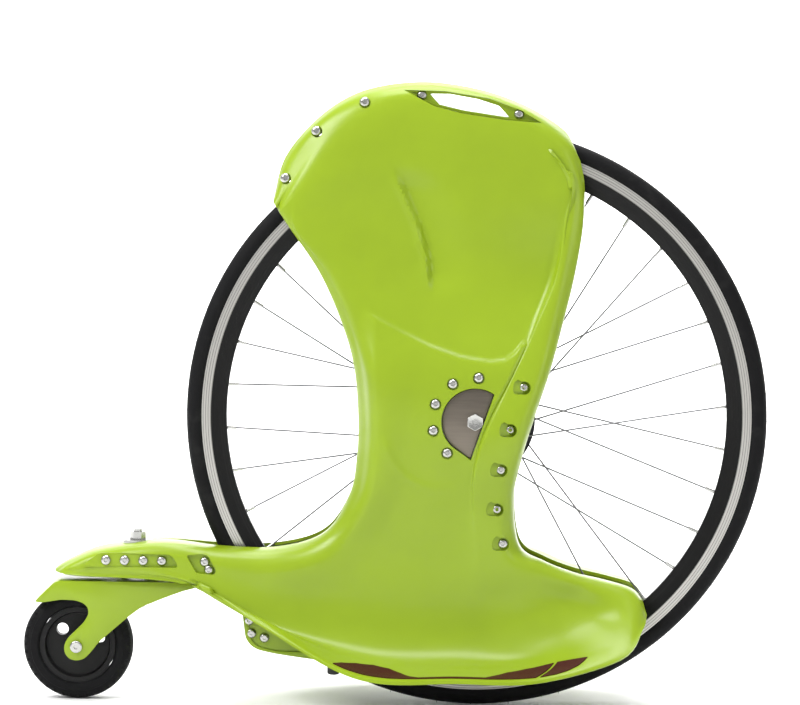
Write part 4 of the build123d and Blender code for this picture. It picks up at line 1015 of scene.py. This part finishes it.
class CRUISER_OT_finishes(bpy.types.Operator):
    """Gives every visible frame node its finish"""

    bl_idname = "cruiser.finishes"
    bl_label = "Finishes of the frame"

    def execute(self, context):
        for row in frame["record"]["subparts"]:
            finish = "spoke_steel" if row["node"].endswith("spokes") else row["material_slot"]
            for slot in frame["nodes"][row["node"]].material_slots:
                slot.material = finish_named(finish)
        return {"FINISHED"}


# ---------------------------------------------------------------- stage
def area_light(name, place, target, size, power):
    """A soft square light turned to a point."""
    light = bpy.data.lights.new(name, "AREA")
    light.shape = "RECTANGLE"
    light.size, light.size_y = size
    light.energy = power
    obj = bpy.data.objects.new(name, light)
    bpy.context.scene.collection.objects.link(obj)
    obj.location = place
    obj.rotation_euler = (Vector(target) - Vector(place)).to_track_quat("-Z", "Y").to_euler()


CAMERA_PLACE = (AXLE.x + 78.9 * MM, -5.033, 0.8627)
CAMERA_TURN = (-1.905, 5.172, 0.614)  # yaw, pitch and roll in degrees
CAMERA_LENS = 197.76


class CRUISER_OT_stage(bpy.types.Operator):
    """Sets the pale sweep, the soft studio lights and the camera"""

    bl_idname = "cruiser.stage"
    bl_label = "Stage and camera"

    def execute(self, context):
        bpy.ops.object.select_all(action="DESELECT")
        bpy.ops.mesh.primitive_plane_add(size=1)
        floor = named("studio_sweep")
        for vertex, (x, y) in zip(floor.data.vertices, [(-9, -9), (9, -9), (-9, 3), (9, 3)]):
            vertex.co = (x, y, 0)
        edit(floor, lambda edge: all(v.co.y > 2.9 for v in edge.verts), "EDGE")
        bpy.ops.mesh.extrude_region_move(TRANSFORM_OT_translate={"value": (0, 0, 7)})
        bpy.ops.mesh.select_all(action="DESELECT")
        done()
        edit(floor, lambda edge: all(v.co.y > 2.9 and v.co.z < 0.1 for v in edge.verts), "EDGE")
        bpy.ops.mesh.bevel(offset=2.0, segments=16)
        done()
        smooth(floor, 40)
        build = Material("studio_white", (0.86, 0.86, 0.86), 0.75)
        floor.data.materials.append(build.material)

        world = bpy.data.worlds.new("studio")
        world.use_nodes = True
        background = world.node_tree.nodes["Background"]
        background.inputs["Color"].default_value = (1, 1, 1, 1)
        background.inputs["Strength"].default_value = 0.55
        context.scene.world = world
        middle = (0, 0, 0.36)
        area_light("key_light", (-2.2, -1.6, 2.6), middle, (1.8, 1.4), 95)
        area_light("fill_light", (2.4, -2.4, 1.0), middle, (1.2, 1.8), 14)
        area_light("top_light", (0.1, 0.0, 3.0), middle, (2.4, 1.6), 85)
        area_light("back_light", (0.4, 1.6, 2.4), (0, 3, 1.0), (3.0, 2.0), 130)

        camera = bpy.data.cameras.new("camera")
        camera.lens = CAMERA_LENS
        camera.sensor_width = 36
        camera.clip_end = 60
        obj = bpy.data.objects.new("camera", camera)
        context.scene.collection.objects.link(obj)
        yaw, pitch, roll = (math.radians(angle) for angle in CAMERA_TURN)
        ahead = Vector((math.sin(yaw) * math.cos(pitch), math.cos(yaw) * math.cos(pitch), -math.sin(pitch)))
        across = Vector((math.cos(yaw), -math.sin(yaw), 0))
        up = across.cross(ahead)
        turned_across = across * math.cos(roll) + up * math.sin(roll)
        turned_up = up * math.cos(roll) - across * math.sin(roll)
        axes = Matrix((turned_across, turned_up, -ahead)).transposed()
        obj.matrix_world = Matrix.Translation(CAMERA_PLACE) @ axes.to_4x4()
        context.scene.camera = obj
        context.scene.view_settings.view_transform = "Standard"
        return {"FINISHED"}


class CRUISER_PT_panel(bpy.types.Panel):
    """Lists the building steps and their settings"""

    bl_idname = "CRUISER_PT_panel"
    bl_label = "One-wheel cruiser"
    bl_space_type = "VIEW_3D"
    bl_region_type = "UI"
    bl_category = "Cruiser"

    def draw(self, context):
        for group in (context.scene.cruiser_shape, context.scene.cruiser_finish):
            for name in group.__annotations__:
                self.layout.prop(group, name)
        for operator in OPERATORS:
            self.layout.operator(operator.bl_idname)


OPERATORS = (CRUISER_OT_shells, CRUISER_OT_hub_discs, CRUISER_OT_grips, CRUISER_OT_tyre, CRUISER_OT_caster,
             CRUISER_OT_fork, CRUISER_OT_guard, CRUISER_OT_screws, CRUISER_OT_finishes, CRUISER_OT_stage)
CLASSES = (CruiserShape, CruiserFinish, *OPERATORS, CRUISER_PT_panel)


def register():
    for cls in CLASSES:
        bpy.utils.register_class(cls)
    bpy.types.Scene.cruiser_shape = PointerProperty(type=CruiserShape)
    bpy.types.Scene.cruiser_finish = PointerProperty(type=CruiserFinish)


def unregister():
    del bpy.types.Scene.cruiser_finish
    del bpy.types.Scene.cruiser_shape
    for cls in reversed(CLASSES):
        bpy.utils.unregister_class(cls)


def main():
    """Builds everything in order."""
    register()
    bpy.ops.cruiser.shells()
    bpy.ops.cruiser.hub_discs()
    bpy.ops.cruiser.grips()
    bpy.ops.cruiser.tyre()
    bpy.ops.cruiser.caster()
    bpy.ops.cruiser.fork()
    bpy.ops.cruiser.guard()
    bpy.ops.cruiser.screws()
    bpy.ops.cruiser.finishes()
    bpy.ops.cruiser.stage()


if __name__ == "__main__":
    main()
